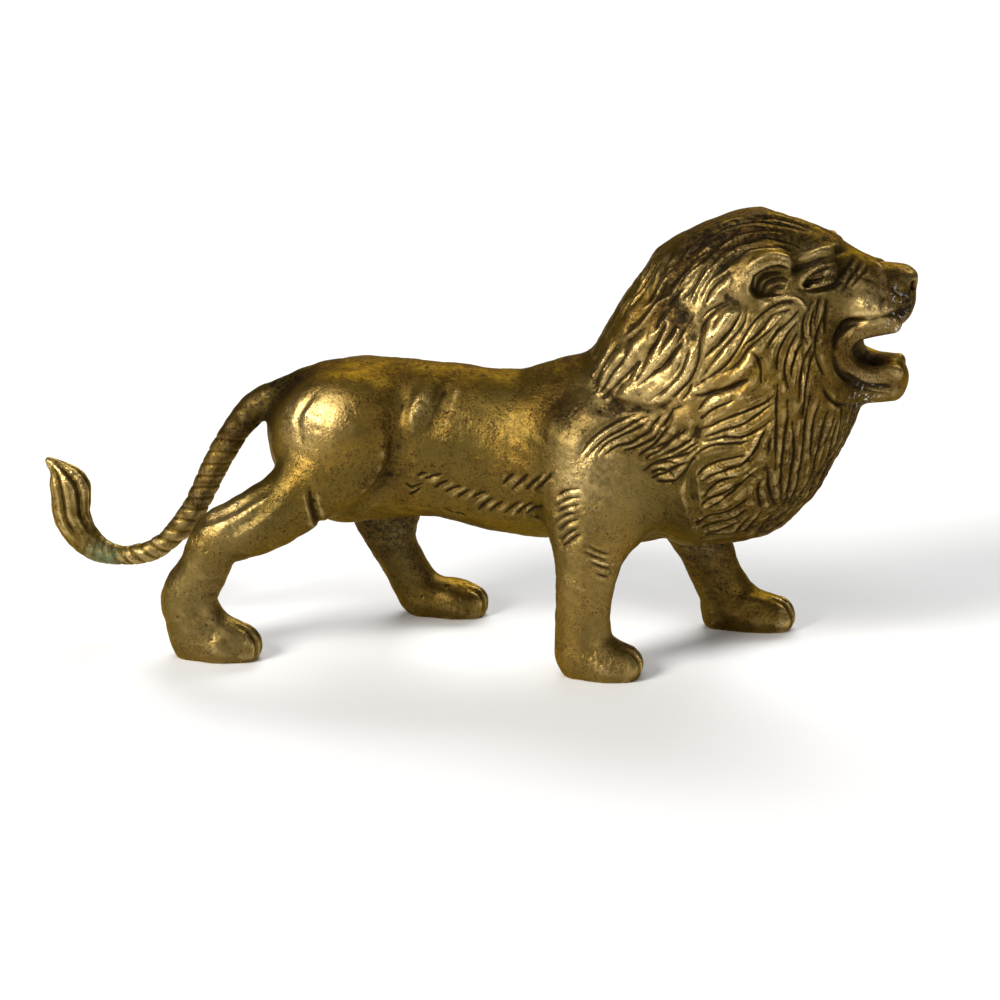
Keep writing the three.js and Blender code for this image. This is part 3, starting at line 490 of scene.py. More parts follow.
@dataclass
class Figure:
    """The smooth figure: how far a place is from its skin, in shares."""

    torso: Sections = (
        (-17.4, 0, 22.1, 8.6, 6.9),
        (-15.0, 0, 23.2, 9.4, 7.6),
        (-10.0, 0, 23.8, 9.3, 7.6),
        (-3.7, 0, 23.9, 8.9, 7.3),
        (1.0, 0, 23.3, 9.1, 7.5),
        (6.5, 0, 22.8, 9.6, 8.0),
        (12.0, 0, 23.6, 10.4, 9.0),
        (18.0, 0, 24.3, 11.4, 9.4),
    )
    hind_leg_right: Sections = (
        (-16.4, -6.2, 20.6, 4.2, 3.6),
        (-20.3, -7.6, 17.5, 3.9, 3.6),
        (-24.2, -8.8, 15.4, 3.6, 3.2),
        (-27.6, -9.5, 13.8, 3.2, 3.0),
        (-29.2, -9.7, 10.4, 2.85, 2.9),
        (-31.0, -9.8, 7.0, 3.2, 2.9),
        (-30.3, -9.8, 4.3, 3.2, 2.9),
    )
    hind_leg_left: Sections = (
        (-11.5, 5.4, 18.5, 5.8, 3.8),
        (-11.4, 7.0, 13.6, 4.2, 3.5),
        (-10.9, 8.5, 9.4, 2.9, 3.0),
        (-9.4, 9.5, 5.6, 2.5, 2.7),
        (-7.8, 9.8, 2.4, 2.6, 2.7),
    )
    front_leg_right: Sections = (
        (15.4, -7.2, 21.0, 5.7, 3.8),
        (14.8, -8.5, 17.0, 5.0, 3.5),
        (14.4, -9.3, 12.6, 3.6, 3.2),
        (13.9, -9.6, 7.6, 3.1, 3.0),
        (14.1, -9.8, 3.4, 3.2, 3.0),
    )
    front_leg_left: Sections = (
        (22.4, 5.6, 19.6, 4.9, 3.8),
        (24.1, 7.0, 15.0, 4.3, 3.5),
        (25.6, 8.4, 10.6, 3.4, 3.1),
        (27.1, 9.4, 6.4, 3.0, 2.8),
        (28.9, 9.8, 3.2, 3.0, 2.8),
    )
    paws: Sections = (
        (-30.7, -25.3, -9.8, 3.3, 2.9),
        (-6.8, -2.0, 9.8, 3.1, 2.6),
        (13.9, 18.5, -9.9, 3.4, 2.6),
        (27.7, 33.8, 9.9, 3.2, 2.8),
    )
    paw_taper: float = 0.8
    tail_line: Sections = (
        (-19.2, 0, 29.4, 1.9, 1.9),
        (-24.4, 0, 27.3, 1.75, 1.7),
        (-27.9, 0, 23.2, 1.6, 1.6),
        (-30.5, 0, 18.4, 1.5, 1.4),
        (-32.7, 0, 14.0, 1.4, 1.3),
        (-36.3, 0, 9.9, 1.25, 1.15),
        (-40.6, 0, 8.4, 1.15, 1.1),
        (-44.5, 0, 9.4, 1.65, 1.5),
        (-46.8, 0, 12.7, 2.2, 1.9),
        (-47.0, 0, 16.3, 2.4, 1.9),
        (-48.0, 0, 18.2, 1.4, 1.3),
        (-49.4, 0, 19.5, 0.5, 0.6),
    )
    head: Sections = (
        (32.0, 0, 45.0, 6.2, 6.0),
        (36.5, 0, 44.2, 6.1, 5.9),
        (40.5, 0, 43.0, 5.1, 5.0),
        (44.0, 0, 42.5, 4.1, 4.1),
        (46.9, 0, 42.3, 3.4, 3.4),
    )
    jaw: Sections = (
        (39.5, 0, 34.6, 3.6, 4.6),
        (43.6, 0, 33.0, 2.9, 3.5),
        (47.0, 0, 33.2, 2.6, 3.0),
    )
    lip: Sections = (
        (47.3, 3.0, 40.0, 1.0, 0.9),
        (44.8, 3.7, 39.6, 1.0, 1.0),
        (42.5, 4.3, 38.6, 1.1, 1.1),
        (42.0, 4.5, 36.9, 1.1, 1.1),
        (43.0, 4.2, 35.0, 1.1, 1.1),
        (45.2, 3.4, 34.2, 1.0, 1.0),
        (47.6, 2.6, 34.4, 0.9, 0.9),
    )
    mouth: Sections = (
        (48.0, 0, 37.1, 0.95, 14),
        (49.3, 0, 37.2, 1.4, 14),
        (52.5, 0, 37.6, 2.2, 14),
    )
    rump_end: float = 0.75
    muzzle_end: float = 0.75
    jaw_end: float = 0.75
    mane: Mane = field(default_factory=Mane)
    chunk: int = 30000
    least_rate: float = 0.4
    touching: float = 0.02
    cast_share: float = 0.8

    def __post_init__(self) -> None:
        """Build the masses and the hollows, with their fillets, in the order in which they join."""
        self.tail = Chain(self.tail_line, steps=4)
        haunches = [
            (Ball((-13.7, -4.0, 24.4), (8.5, 5.5, 8.2), 12), 0.9),
            (Ball((-12.8, 4.0, 23.9), (8.7, 5.3, 8.4), 0), 0.9),
        ]
        shoulders = [
            (Ball((15.2, -6.6, 22.4), (7.4, 4.6, 9.2), -8), 1.2),
            (Ball((20.6, 6.2, 21.4), (7.2, 4.6, 8.8), 12), 1.2),
        ]
        nose = (Ball((47.5, 0, 44.5), (2.2, 2.1, 1.5), 0), 1.0)
        pads = [(Ball((44.6, 1.9, 41.4), (3.6, 2.9, 2.6), 8, side), 0.8) for side in SIDES]
        lips = [
            (Chain(tuple((x, side * y, z, high, wide) for x, y, z, high, wide in self.lip)), 0.7)
            for side in SIDES
        ]
        cheekbones = [(Ball((39.2, 4.5, 45.6), (2.2, 1.4, 1.3), -25, side), 0.8) for side in SIDES]
        brows = [(Ball((38.5, 4.0, 47.0), (2.6, 1.5, 0.9), -22, side), 0.8) for side in SIDES]
        ears = [(Ball((33.1, 6.6, 46.3), (3.5, 2.5, 3.0), -14, side), 0.7) for side in SIDES]
        self.masses: list[tuple[Form, float]] = [
            (Chain(self.torso, cap_back=self.rump_end), 1.0),
            *haunches,
            (Chain(self.hind_leg_right), 1.6),
            (Chain(self.hind_leg_left), 1.6),
            (self.mane, 0.9),
            *shoulders,
            (Chain(self.front_leg_right), 1.8),
            (Chain(self.front_leg_left), 1.8),
            *[(Chain(self.paw(*row)), 1.4) for row in self.paws],
            (Chain(self.head, cap_front=self.muzzle_end), 1.4),
            nose,
            *pads,
            (Chain(self.jaw, cap_front=self.jaw_end), 1.2),
            *lips,
            *cheekbones,
            *brows,
            *ears,
            (self.tail, 1.0),
        ]
        mouth_corners = [(Ball((45.0, 4.6, 37.0), (2.1, 2.6, 1.35), 0, side), 0.5) for side in SIDES]
        ear_hollows = [(Ball((34.7, 9.0, 45.7), (2.9, 1.6, 1.9), -22, side), 0.5) for side in SIDES]
        nostrils = [(Ball((49.4, 1.2, 44.0), (0.9, 0.6, 0.6), 0, side), 0.3) for side in SIDES]
        eye_hollows = [(Ball((38.9, 6.1, 45.4), (1.9, 0.7, 0.5), -26, side), 0.3) for side in SIDES]
        self.hollows: list[tuple[Form, float]] = [
            (Chain(self.mouth), 0.5),
            *mouth_corners,
            *ear_hollows,
            *nostrils,
            *eye_hollows,
        ]

    def paw(self, heel: float, toes: float, side: float, wide: float, high: float) -> Sections:
        """Give the sections of a paw.

        Args:
            heel: Place of the heel along the figure.
            toes: Place of the toes along the figure.
            side: Place across the figure.
            wide: Half width of the pad.
            high: Half height of the pad.

        Returns:
            Three sections from the heel to the toes.
        """
        return (
            (heel, side, 0.7 * high, high, wide - self.paw_taper),
            (heel + 0.6 * (toes - heel), side, 0.65 * high, high, wide),
            (toes, side, 0.55 * high, 0.9 * high, wide - 0.6 * self.paw_taper),
        )

    def distance(self, points: np.ndarray) -> np.ndarray:
        """Give the distance from each place to the smooth skin.

        Args:
            points: Places in shares, one row each.

        Returns:
            The distances, negative inside.
        """
        if len(points) > self.chunk:
            parts = np.array_split(points, len(points) // self.chunk + 1)
            return np.concatenate([self.distance(part) for part in parts])
        distance = np.full(len(points), FAR, dtype=points.dtype)
        for form, fillet in self.masses:
            apart = lengths(np.maximum(np.maximum(form.low - points, points - form.high), 0))
            near = np.flatnonzero(apart <= distance + fillet)
            if len(near):
                distance[near] = blend(distance[near], form.distance(points[near]), fillet)
        for form, fillet in self.hollows:
            apart = lengths(np.maximum(np.maximum(form.low - points, points - form.high), 0))
            near = np.flatnonzero(apart <= fillet)
            if len(near):
                distance[near] = -blend(-distance[near], form.distance(points[near]), fillet)
        return distance

    def slope(self, points: np.ndarray, here: np.ndarray) -> tuple[np.ndarray, np.ndarray]:
        """Give the way out of the figure at each place.

        Args:
            points: Places in shares.
            here: The distances at those places.

        Returns:
            The way out as vectors of length 1, and how fast the distance rises along it.
        """
        step = 0.03
        moved = np.eye(3, dtype=points.dtype) * step
        rise = np.stack([self.distance(points + moved[axis]) - here for axis in range(3)], 1)
        steep = np.maximum(lengths(rise), 1e-6)
        return rise / steep[:, None], steep / step

    def settle(self, points: np.ndarray, rounds: int = 2) -> tuple[np.ndarray, np.ndarray]:
        """Move places onto the smooth skin.

        Args:
            points: Places in shares.
            rounds: How often each place is moved.

        Returns:
            The places on the skin and the way out there.
        """
        out = np.zeros_like(points)
        for _ in range(rounds):
            here = self.distance(points)
            out, rate = self.slope(points, here)
            away = np.clip(here / np.maximum(rate, self.least_rate), -1, 1)
            points = points - out * away[:, None]
        return points, out

    def cast(self, starts: np.ndarray, ends: np.ndarray, rounds: int = 60) -> np.ndarray:
        """Find the skin on the way from places outside to places inside.

        Args:
            starts: Places outside.
            ends: Places inside.
            rounds: Most steps that a cast takes.

        Returns:
            The first place on the skin of each way.
        """
        gap = lengths(ends - starts)
        way = (ends - starts) / gap[:, None]
        run = np.zeros(len(starts))
        moving = np.ones(len(starts), dtype=bool)
        for _ in range(rounds):
            moving &= run < gap
            if not moving.any():
                break
            away = self.distance(starts[moving] + way[moving] * run[moving, None])
            stays = away >= self.touching
            now = np.flatnonzero(moving)
            run[now[stays]] += away[stays] * self.cast_share
            moving[now[~stays]] = False
        return starts + way * run[:, None]


class Stroke(Enum):
    """How a line over the skin is worked."""

    LOCK = "lock"
    LINE = "line"


@dataclass(frozen=True)
class Touch:
    """The width and depth of a worked line, in shares; a depth below nought raises it."""

    wide: float
    depth: float


@dataclass
class Carving:
    """The locks, engraved hair, folds and bands, as lines over the smooth skin.

    Each row is a short piece of a line: its start, its run, the shares of the line at which it
    starts and ends, the width and depth of the line, and 1 where the line is a lock.
    """

    figure: Figure
    reach: float = 2.0
    sunk: float = 0.3
    relief: float = 0.42
    lock_girth: tuple[float, float, float] = (0.12, 0.85, 0.6)
    lock_rise: tuple[float, float] = (-0.1, 0.2)
    lock_fall: float = 0.45
    cut_depth: tuple[float, float, float] = (0.06, 0.88, 0.5)
    rows: list[tuple[float, ...]] = field(default_factory=list)

    def add(self, line: np.ndarray, touch: Touch, stroke: Stroke = Stroke.LINE) -> None:
        """Lay a line over the skin.

        Args:
            line: The points of the line, on the skin.
            touch: Its width and depth.
            stroke: How it is worked.
        """
        last = len(line) - 1
        for n in range(last):
            a, b = line[n], line[n + 1]
            shares = (n / last, (n + 1) / last)
            is_lock = float(stroke is Stroke.LOCK)
            self.rows.append((*a, *(b - a), *shares, touch.wide, touch.depth, is_lock))

    def cells(self) -> dict[tuple[int, ...], np.ndarray]:
        """Sort the pieces of the lines into cells of space.

        Returns:
            The numbers of the pieces that can touch each cell.
        """
        self.table = np.array(self.rows)
        a, b = self.table[:, :3], self.table[:, :3] + self.table[:, 3:6]
        wide = self.table[:, 8:9]
        low = np.floor((np.minimum(a, b) - wide) / self.reach).astype(int)
        high = np.floor((np.maximum(a, b) + wide) / self.reach).astype(int)
        found: dict[tuple[int, ...], list[int]] = {}
        for n in range(len(a)):
            for i in range(low[n, 0], high[n, 0] + 1):
                for j in range(low[n, 1], high[n, 1] + 1):
                    for k in range(low[n, 2], high[n, 2] + 1):
                        found.setdefault((i, j, k), []).append(n)
        return {key: np.array(value) for key, value in found.items()}

    def lift(self, points: np.ndarray) -> np.ndarray:
        """Tell how far the skin is raised, or cut where below nought.

        Args:
            points: Places on the smooth skin.

        Returns:
            The lift of each place along the way out.
        """
        cells = self.cells()
        keys = np.floor(points / self.reach).astype(int)
        order = np.lexsort(keys.T)
        keys = keys[order]
        breaks = np.flatnonzero((np.diff(keys, axis=0) != 0).any(1)) + 1
        lock = np.zeros(len(points))
        raised = np.zeros(len(points))
        cut = np.zeros(len(points))
        for group in np.split(np.arange(len(points)), breaks):
            pieces = cells.get(tuple(keys[group[0]]))
            if pieces is None:
                continue
            here = order[group]
            lock[here], raised[here], cut[here] = self.work(points[here], self.table[pieces])
        sunk = self.sunk * self.figure.mane.share(points)
        return self.relief * (lock - sunk) + raised - cut

    @staticmethod
    def swell(place: np.ndarray, shape: tuple[float, float, float]) -> np.ndarray:
        """Let a line swell between its ends.

        Args:
            place: Shares of the line's length.
            shape: Where on a half wave the line starts, how much of the wave it fills, and a power.

        Returns:
            Values from 0 to 1.
        """
        start, span, power = shape
        return np.sin(np.pi * (start + span * place)) ** power

    def work(self, points: np.ndarray, table: np.ndarray) -> tuple[np.ndarray, np.ndarray, np.ndarray]:
        """Work the pieces of one cell into its places.

        Args:
            points: The places of the cell.
            table: The pieces that can touch it.

        Returns:
            The height of the locks, the raised lines and the cut lines.
        """
        a, d = table[:, :3], table[:, 3:6]
        p = points[:, None] - a[None]
        t = np.clip((p * d[None]).sum(-1) / np.maximum((d * d).sum(-1), 1e-9), 0, 1)
        away = lengths(p - d[None] * t[..., None])
        place = table[:, 6] + (table[:, 7] - table[:, 6]) * t
        wide, depth = table[:, 8], table[:, 9]
        is_lock = table[:, 10] > 0.5
        near = away / (wide * self.swell(place, self.lock_girth))
        high = depth * smoothstep(place, *self.lock_rise) * (1 - self.lock_fall * place)
        lock = np.where(is_lock & (near < 1), high * (1 - near * near), 0).max(1)
        near = np.clip(1 - (away / wide) ** 2, 0, 1)
        deep = depth * near * near * self.swell(place, self.cut_depth)
        deep = np.where(is_lock, 0, deep)
        return lock, np.maximum(-deep, 0).max(1), np.maximum(deep, 0).max(1)


@dataclass
class Hair:
    """The locks that stand up from the mane."""

    figure: Figure
    roots: int = 1200
    height: float = 0.56
    long: float = 12
    shortest: float = 0.8
    longer: float = 0.4
    wide: float = 1.5
    fine: float = 0.9
    change: tuple[float, float] = (26, 36)
    gap: float = 1.15
    meet: float = 0.62
    sway: float = 0.22
    sway_turns: float = 1.4
    step: float = 0.9
    reach: float = 32
    spread: float = 0.75
    crest: tuple[float, float, float, float] = (0.5, 4.5, 36, 0.4)
    root_share: float = 0.3
    tip_share: float = 0.25
    least_flow: float = 0.15
    fewest_points: int = 4

    def find_roots(self) -> tuple[np.ndarray, np.ndarray]:
        """Spread the roots evenly over the mane.

        Returns:
            The numbers of the roots that lie on the mane, and their places.
        """
        n = np.arange(self.roots)
        high = 1 - (2 * n + 1) / self.roots
        turn = n * math.pi * (3 - math.sqrt(5))
        flat = np.sqrt(1 - high * high)
        away = self.reach * np.stack([flat * np.cos(turn), self.spread * high, flat * np.sin(turn)], 1)
        mane = self.figure.mane
        middle = np.tile([mane.middle[0], 0.0, mane.middle[1]], (self.roots, 1))
        places = self.figure.cast(middle + away, middle)
        on = mane.share(places) >= self.root_share
        return n[on], places[on]

    def trace(self, numbers: np.ndarray, roots: np.ndarray) -> tuple[np.ndarray, np.ndarray]:
        """Run every lock along the flow of the hair.

        Args:
            numbers: The numbers of the roots.
            roots: Their places.

        Returns:
            The points of each lock, and how many points it has.
        """
        mane = self.figure.mane
        long = self.long * (self.shortest + self.longer * np.sin(numbers * 2.4) ** 2)
        sway = self.sway * np.sin(numbers * 1.7)
        points = roots.copy()
        lines = [roots]
        counts = np.ones(len(roots), dtype=int)
        alive = np.ones(len(roots), dtype=bool)
        for n in range(math.ceil(long.max() / self.step)):
            run = n * self.step
            alive &= run < long
            points, out = self.figure.settle(points, 1)
            flow = mane.run_of_hair(points)
            ahead = flow - (flow * out).sum(1)[:, None] * out
            size = lengths(ahead)
            alive &= size >= self.least_flow
            ahead = ahead / np.maximum(size, 1e-6)[:, None]
            side = np.cross(out, ahead)
            lean = sway * np.cos(run / long * math.pi * self.sway_turns)
            points = points + (ahead + side * lean[:, None]) * self.step
            points, _ = self.figure.settle(points, 1)
            alive &= mane.share(points) >= self.tip_share
            counts += alive
            lines.append(points)
        return np.stack(lines, 1), counts

    def fullness(self, root: np.ndarray) -> float:
        """Give the share of its height that a lock keeps, which is less along the crest.

        Args:
            root: The place of its root.

        Returns:
            A value up to 1.
        """
        start, end, low, share = self.crest
        beside = float(smoothstep(np.abs(root[1:2]), start, end)[0])
        full = 1.0 if root[2] < low else beside
        return share + (1 - share) * full

    def carve(self, carving: Carving) -> None:
        """Lay the locks that find room.

        Args:
            carving: The carving that takes the lines.
        """
        numbers, roots = self.find_roots()
        lines, counts = self.trace(numbers, roots)
        laid = np.full((1, 3), FAR)
        found = 0
        for root, line, points in zip(roots, lines, counts):
            fine = float(smoothstep(root[0:1], *self.change)[0])
            wide = self.wide + (self.fine - self.wide) * fine
            if lengths(laid - root).min() <= self.gap * wide:
                continue
            line = line[:points]
            gaps = np.array([lengths(laid - point).min() for point in line])
            blocked = np.flatnonzero(gaps[1:] <= self.meet * wide)
            count = blocked[0] + 1 if len(blocked) else len(line)
            if count < self.fewest_points:
                continue
            line = line[:count]
            laid = np.concatenate([laid, line])
            depth = self.height * wide * self.fullness(root)
            carving.add(line, Touch(wide, depth), Stroke.LOCK)
            found += 1
        log.info("mane: %d locks", found)


@dataclass(frozen=True)
class Strokes:
    """Lines that are worked alike: how, and where they run, seen from the side, as x and z."""

    touches: tuple[Touch, ...]
    lines: tuple[Outline, ...]
    sides: tuple[int, ...] = SIDES


def strokes_of(owner: object) -> tuple[Strokes, ...]:
    """Give the groups of strokes that an object holds, in the order in which it names them."""
    return tuple(value for value in vars(owner).values() if isinstance(value, Strokes))


@dataclass(frozen=True)
class Toes:
    """The grooves that part the toes of a paw, over its front, in shares and degrees."""

    offsets: tuple[float, ...] = (-1.35, 0, 1.35)
    front: float = 2.6
    rise: float = 0.6
    start: float = -20
    turn: float = 20
    points: int = 6
    touch: Touch = Touch(0.6, 0.275)


@dataclass(frozen=True)
class Bands:
    """The rings round the tail, which fade towards its tuft, in shares of the tail's length."""

    first: int = 3
    count: int = 22
    start: float = 0.1
    end: float = 0.68
    lean: float = 0.015
    points: int = 13
    wide: float = 0.27
    depth: float = 0.7 * 0.17
    fade_start: float = 0.4
    fade: float = 0.7


@dataclass(frozen=True)
class Flutes:
    """The grooves that run along the tuft of the tail, in shares of the tail's length."""

    count: int = 7
    start: float = 0.68
    end: float = 0.96
    points: int = 9
    curl: float = 0.3
    touch: Touch = Touch(0.6, 0.35)


@dataclass(frozen=True)
class ChestHair:
    """The hair of the chest: columns of short wavy lines, seen from the front."""

    columns: int = 13
    rows: int = 3
    spacing: float = 1.15
    top: float = 30.4
    drop: float = 5.4
    stagger: float = 1.2
    long: float = 5.6
    long_change: float = 0.25
    sway: float = 0.45
    bend: float = 0.4
    gather: float = 0.9
    steps: int = 9
    cast_from: float = 60.0
    cast_to: float = 27.0
    touches: tuple[Touch, ...] = (Touch(0.7, 0.16), Touch(0.34, 0.3))

    def lines(self) -> list[np.ndarray]:
        """Lay the columns on the plane across the figure's middle.

        Returns:
            The points of each line.
        """
        found = []
        for column in range(self.columns):
            for row in range(self.rows):
                high = self.top - self.drop * row - self.stagger * math.sin(column * 2.1) ** 2
                long = self.long * (1 + self.long_change * math.sin(column * 1.7 + row))
                y = self.spacing * (column - (self.columns - 1) / 2)
                y += self.sway * math.sin(row * 2.0 + column)
                bend = self.bend * math.sin(column + 2.3 * row)
                middle = [0, y + bend, high - long / 2]
                end = [0, self.gather * y, high - long]
                found.append(Spline([[0, y, high], middle, end]).many(self.steps))
        return found


@dataclass
class BodyLines:
    """The folds, toes and bands of the body, and every line that is cast onto the skin."""

    figure: Figure
    cast_start: float = 16
    lips: tuple[Fold, ...] = (
        (((48.6, 41.5), (45.8, 41.1), (42.6, 40.4), (41.4, 39.2), (41.1, 37.3)), 0.7, 0.4),
        (((41.1, 37.3), (41.7, 35.4), (43.2, 33.9), (45.0, 32.9), (47.3, 32.7)), 0.7, 0.4),
    )
    nostril: Fold = (((46.6, 45.2), (47.6, 43.6), (48.7, 43.5)), 0.5, 0.15)
    thigh: tuple[Fold, ...] = (
        (((-7.2, 31.0), (-7.5, 28.0), (-7.2, 24.0), (-8.0, 21.0), (-11.1, 17.8)), 0.9, 0.5),
        (((-16.8, 30.8), (-18.4, 28.2), (-18.0, 25.1)), 0.6, 0.3),
        (((-16.9, 20.4), (-16.4, 17.8), (-16.1, 15.0)), 1.1, 0.8),
    )
    thigh_softer: tuple[tuple[float, float], ...] = ((2.2, 0.8), (1.3, 0.8), (0.7, 0.6))
    far_thigh_shift: float = 1.8
    shank: tuple[Fold, ...] = (
        (((-29.5, 16.0), (-25.6, 17.8), (-21.8, 20.0)), 0.6, 0.35),
        (((-25.9, 15.3), (-23.3, 17.0), (-20.9, 18.9)), 0.6, 0.3),
    )
    shank_softer: tuple[float, float] = (1.6, 0.75)
    flank: tuple[Fold, ...] = (
        (((-4.1, 31.8), (-4.9, 29.8), (-5.9, 27.4)), 1.2, -0.7),
        (((-2.2, 32.2), (-2.6, 30.1), (-3.5, 27.2)), 0.9, 0.5),
        (((-0.9, 32.4), (-1.2, 30.4)), 0.9, -0.3),
    )
    flank_softer: tuple[float, float] = (1.5, 0.8)
    flank_top: float = 31.2
    toes: Toes = Toes()
    bands: Bands = Bands()
    flutes: Flutes = Flutes()
    chest: ChestHair = ChestHair()
    waiting: list[tuple[np.ndarray, np.ndarray, tuple[Touch, ...]]] = field(default_factory=list)

    def draw(self, points: Outline, touches: tuple[Touch, ...], side: int, shift: float = 0.0) -> None:
        """Draw a line as it is seen from the side, to be cast onto the skin.

        Args:
            points: The x and z of its points.
            touches: The widths and depths that it is worked with.
            side: The side from which it is cast.
            shift: How far it is moved along the figure.
        """
        curve = Spline([[x, 0, z] for x, z in points]).many(len(points) * 3)
        curve[:, 0] += shift
        starts = curve.copy()
        starts[:, 1] = side * self.cast_start
        self.waiting.append((starts, curve, touches))

    def draw_chest(self) -> None:
        """Draw the hair of the chest, to be cast onto the skin from the front."""
        for line in self.chest.lines():
            starts = line + (self.chest.cast_from, 0, 0)
            ends = line + (self.chest.cast_to, 0, 0)
            self.waiting.append((starts, ends, self.chest.touches))

    def draw_all(self, strokes: tuple[Strokes, ...]) -> None:
        """Draw every line of some groups of strokes.

        Args:
            strokes: The groups.
        """
        for group in strokes:
            for side in group.sides:
                for points in group.lines:
                    self.draw(points, group.touches, side)

    def cast_waiting(self, carving: Carving) -> None:
        """Cast every line that waits onto the skin.

        Args:
            carving: The carving that takes the lines.
        """
        starts = np.concatenate([start for start, _, _ in self.waiting])
        ends = np.concatenate([end for _, end, _ in self.waiting])
        skin = self.figure.cast(starts, ends)
        at = 0
        for start, _, touches in self.waiting:
            for touch in touches:
                carving.add(skin[at : at + len(start)], touch)
            at += len(start)
        self.waiting = []

    def paws(self, carving: Carving) -> None:
        """Part the toes.

        Args:
            carving: The carving that takes the lines.
        """
        toes = self.toes
        lean = np.radians(toes.start + toes.turn * np.arange(toes.points))
        for _, tip, side, _, high in self.figure.paws:
            for offset in toes.offsets:
                x = tip + toes.front * np.cos(lean)
                z = high * (toes.rise + np.sin(lean))
                line = np.stack([x, np.full(len(lean), side + offset), z], 1)
                line, _ = self.figure.settle(line, 2)
                carving.add(line, toes.touch)

    def tail(self, carving: Carving) -> None:
        """Band the tail and flute its tuft.

        Args:
            carving: The carving that takes the lines.
        """
        tail, bands, flutes = self.figure.tail, self.bands, self.flutes
        turns = np.arange(bands.points) / (bands.points - 1) * 2 * math.pi
        for n in range(bands.first, bands.count):
            t = bands.start + (bands.end - bands.start) * n / (bands.count - 1)
            ring = np.array([tail.around(t + bands.lean * math.sin(turn), turn) for turn in turns])
            faint = float(smoothstep(np.array(t), bands.fade_start, bands.end))
            carving.add(ring, Touch(bands.wide, bands.depth * (1 - bands.fade * faint)))
        for n in range(flutes.count):
            line = []
            for k in range(flutes.points):
                t = flutes.start + (flutes.end - flutes.start) * k / (flutes.points - 1)
                turn = (n + 0.5) / flutes.count * 2 * math.pi + flutes.curl * math.sin(k / 3)
                line.append(tail.around(t, turn))
            carving.add(np.array(line), flutes.touch)

    def fold(self, fold: Fold, softer: tuple[float, float], side: int, shift: float = 0.0) -> None:
        """Draw a fold wider and shallower than its own sizes say.

        Args:
            fold: The fold.
            softer: What its width and its depth are multiplied by.
            side: The side from which it is cast.
            shift: How far it is moved along the figure.
        """
        points, wide, depth = fold
        wider, shallower = softer
        self.draw(points, (Touch(wide * wider, depth * shallower),), side, shift)

    def carve(self, carving: Carving) -> None:
        """Lay every line of the body.

        Args:
            carving: The carving that takes the lines.
        """
        as_drawn = (1.0, 1.0)
        self.tail(carving)
        self.paws(carving)
        for side in SIDES:
            for fold in self.lips:
                self.fold(fold, as_drawn, side)
            for points, wide, depth in self.flank:
                lowered = tuple((x, min(z, self.flank_top)) for x, z in points)
                self.fold((lowered, wide, depth), self.flank_softer, side)
            self.fold(self.nostril, as_drawn, side)
            for fold, softer in zip(self.thigh, self.thigh_softer):
                self.fold(fold, softer, side, self.far_thigh_shift if side > 0 else 0.0)
        for fold in self.shank:
            self.fold(fold, self.shank_softer, -1)
        self.cast_waiting(carving)


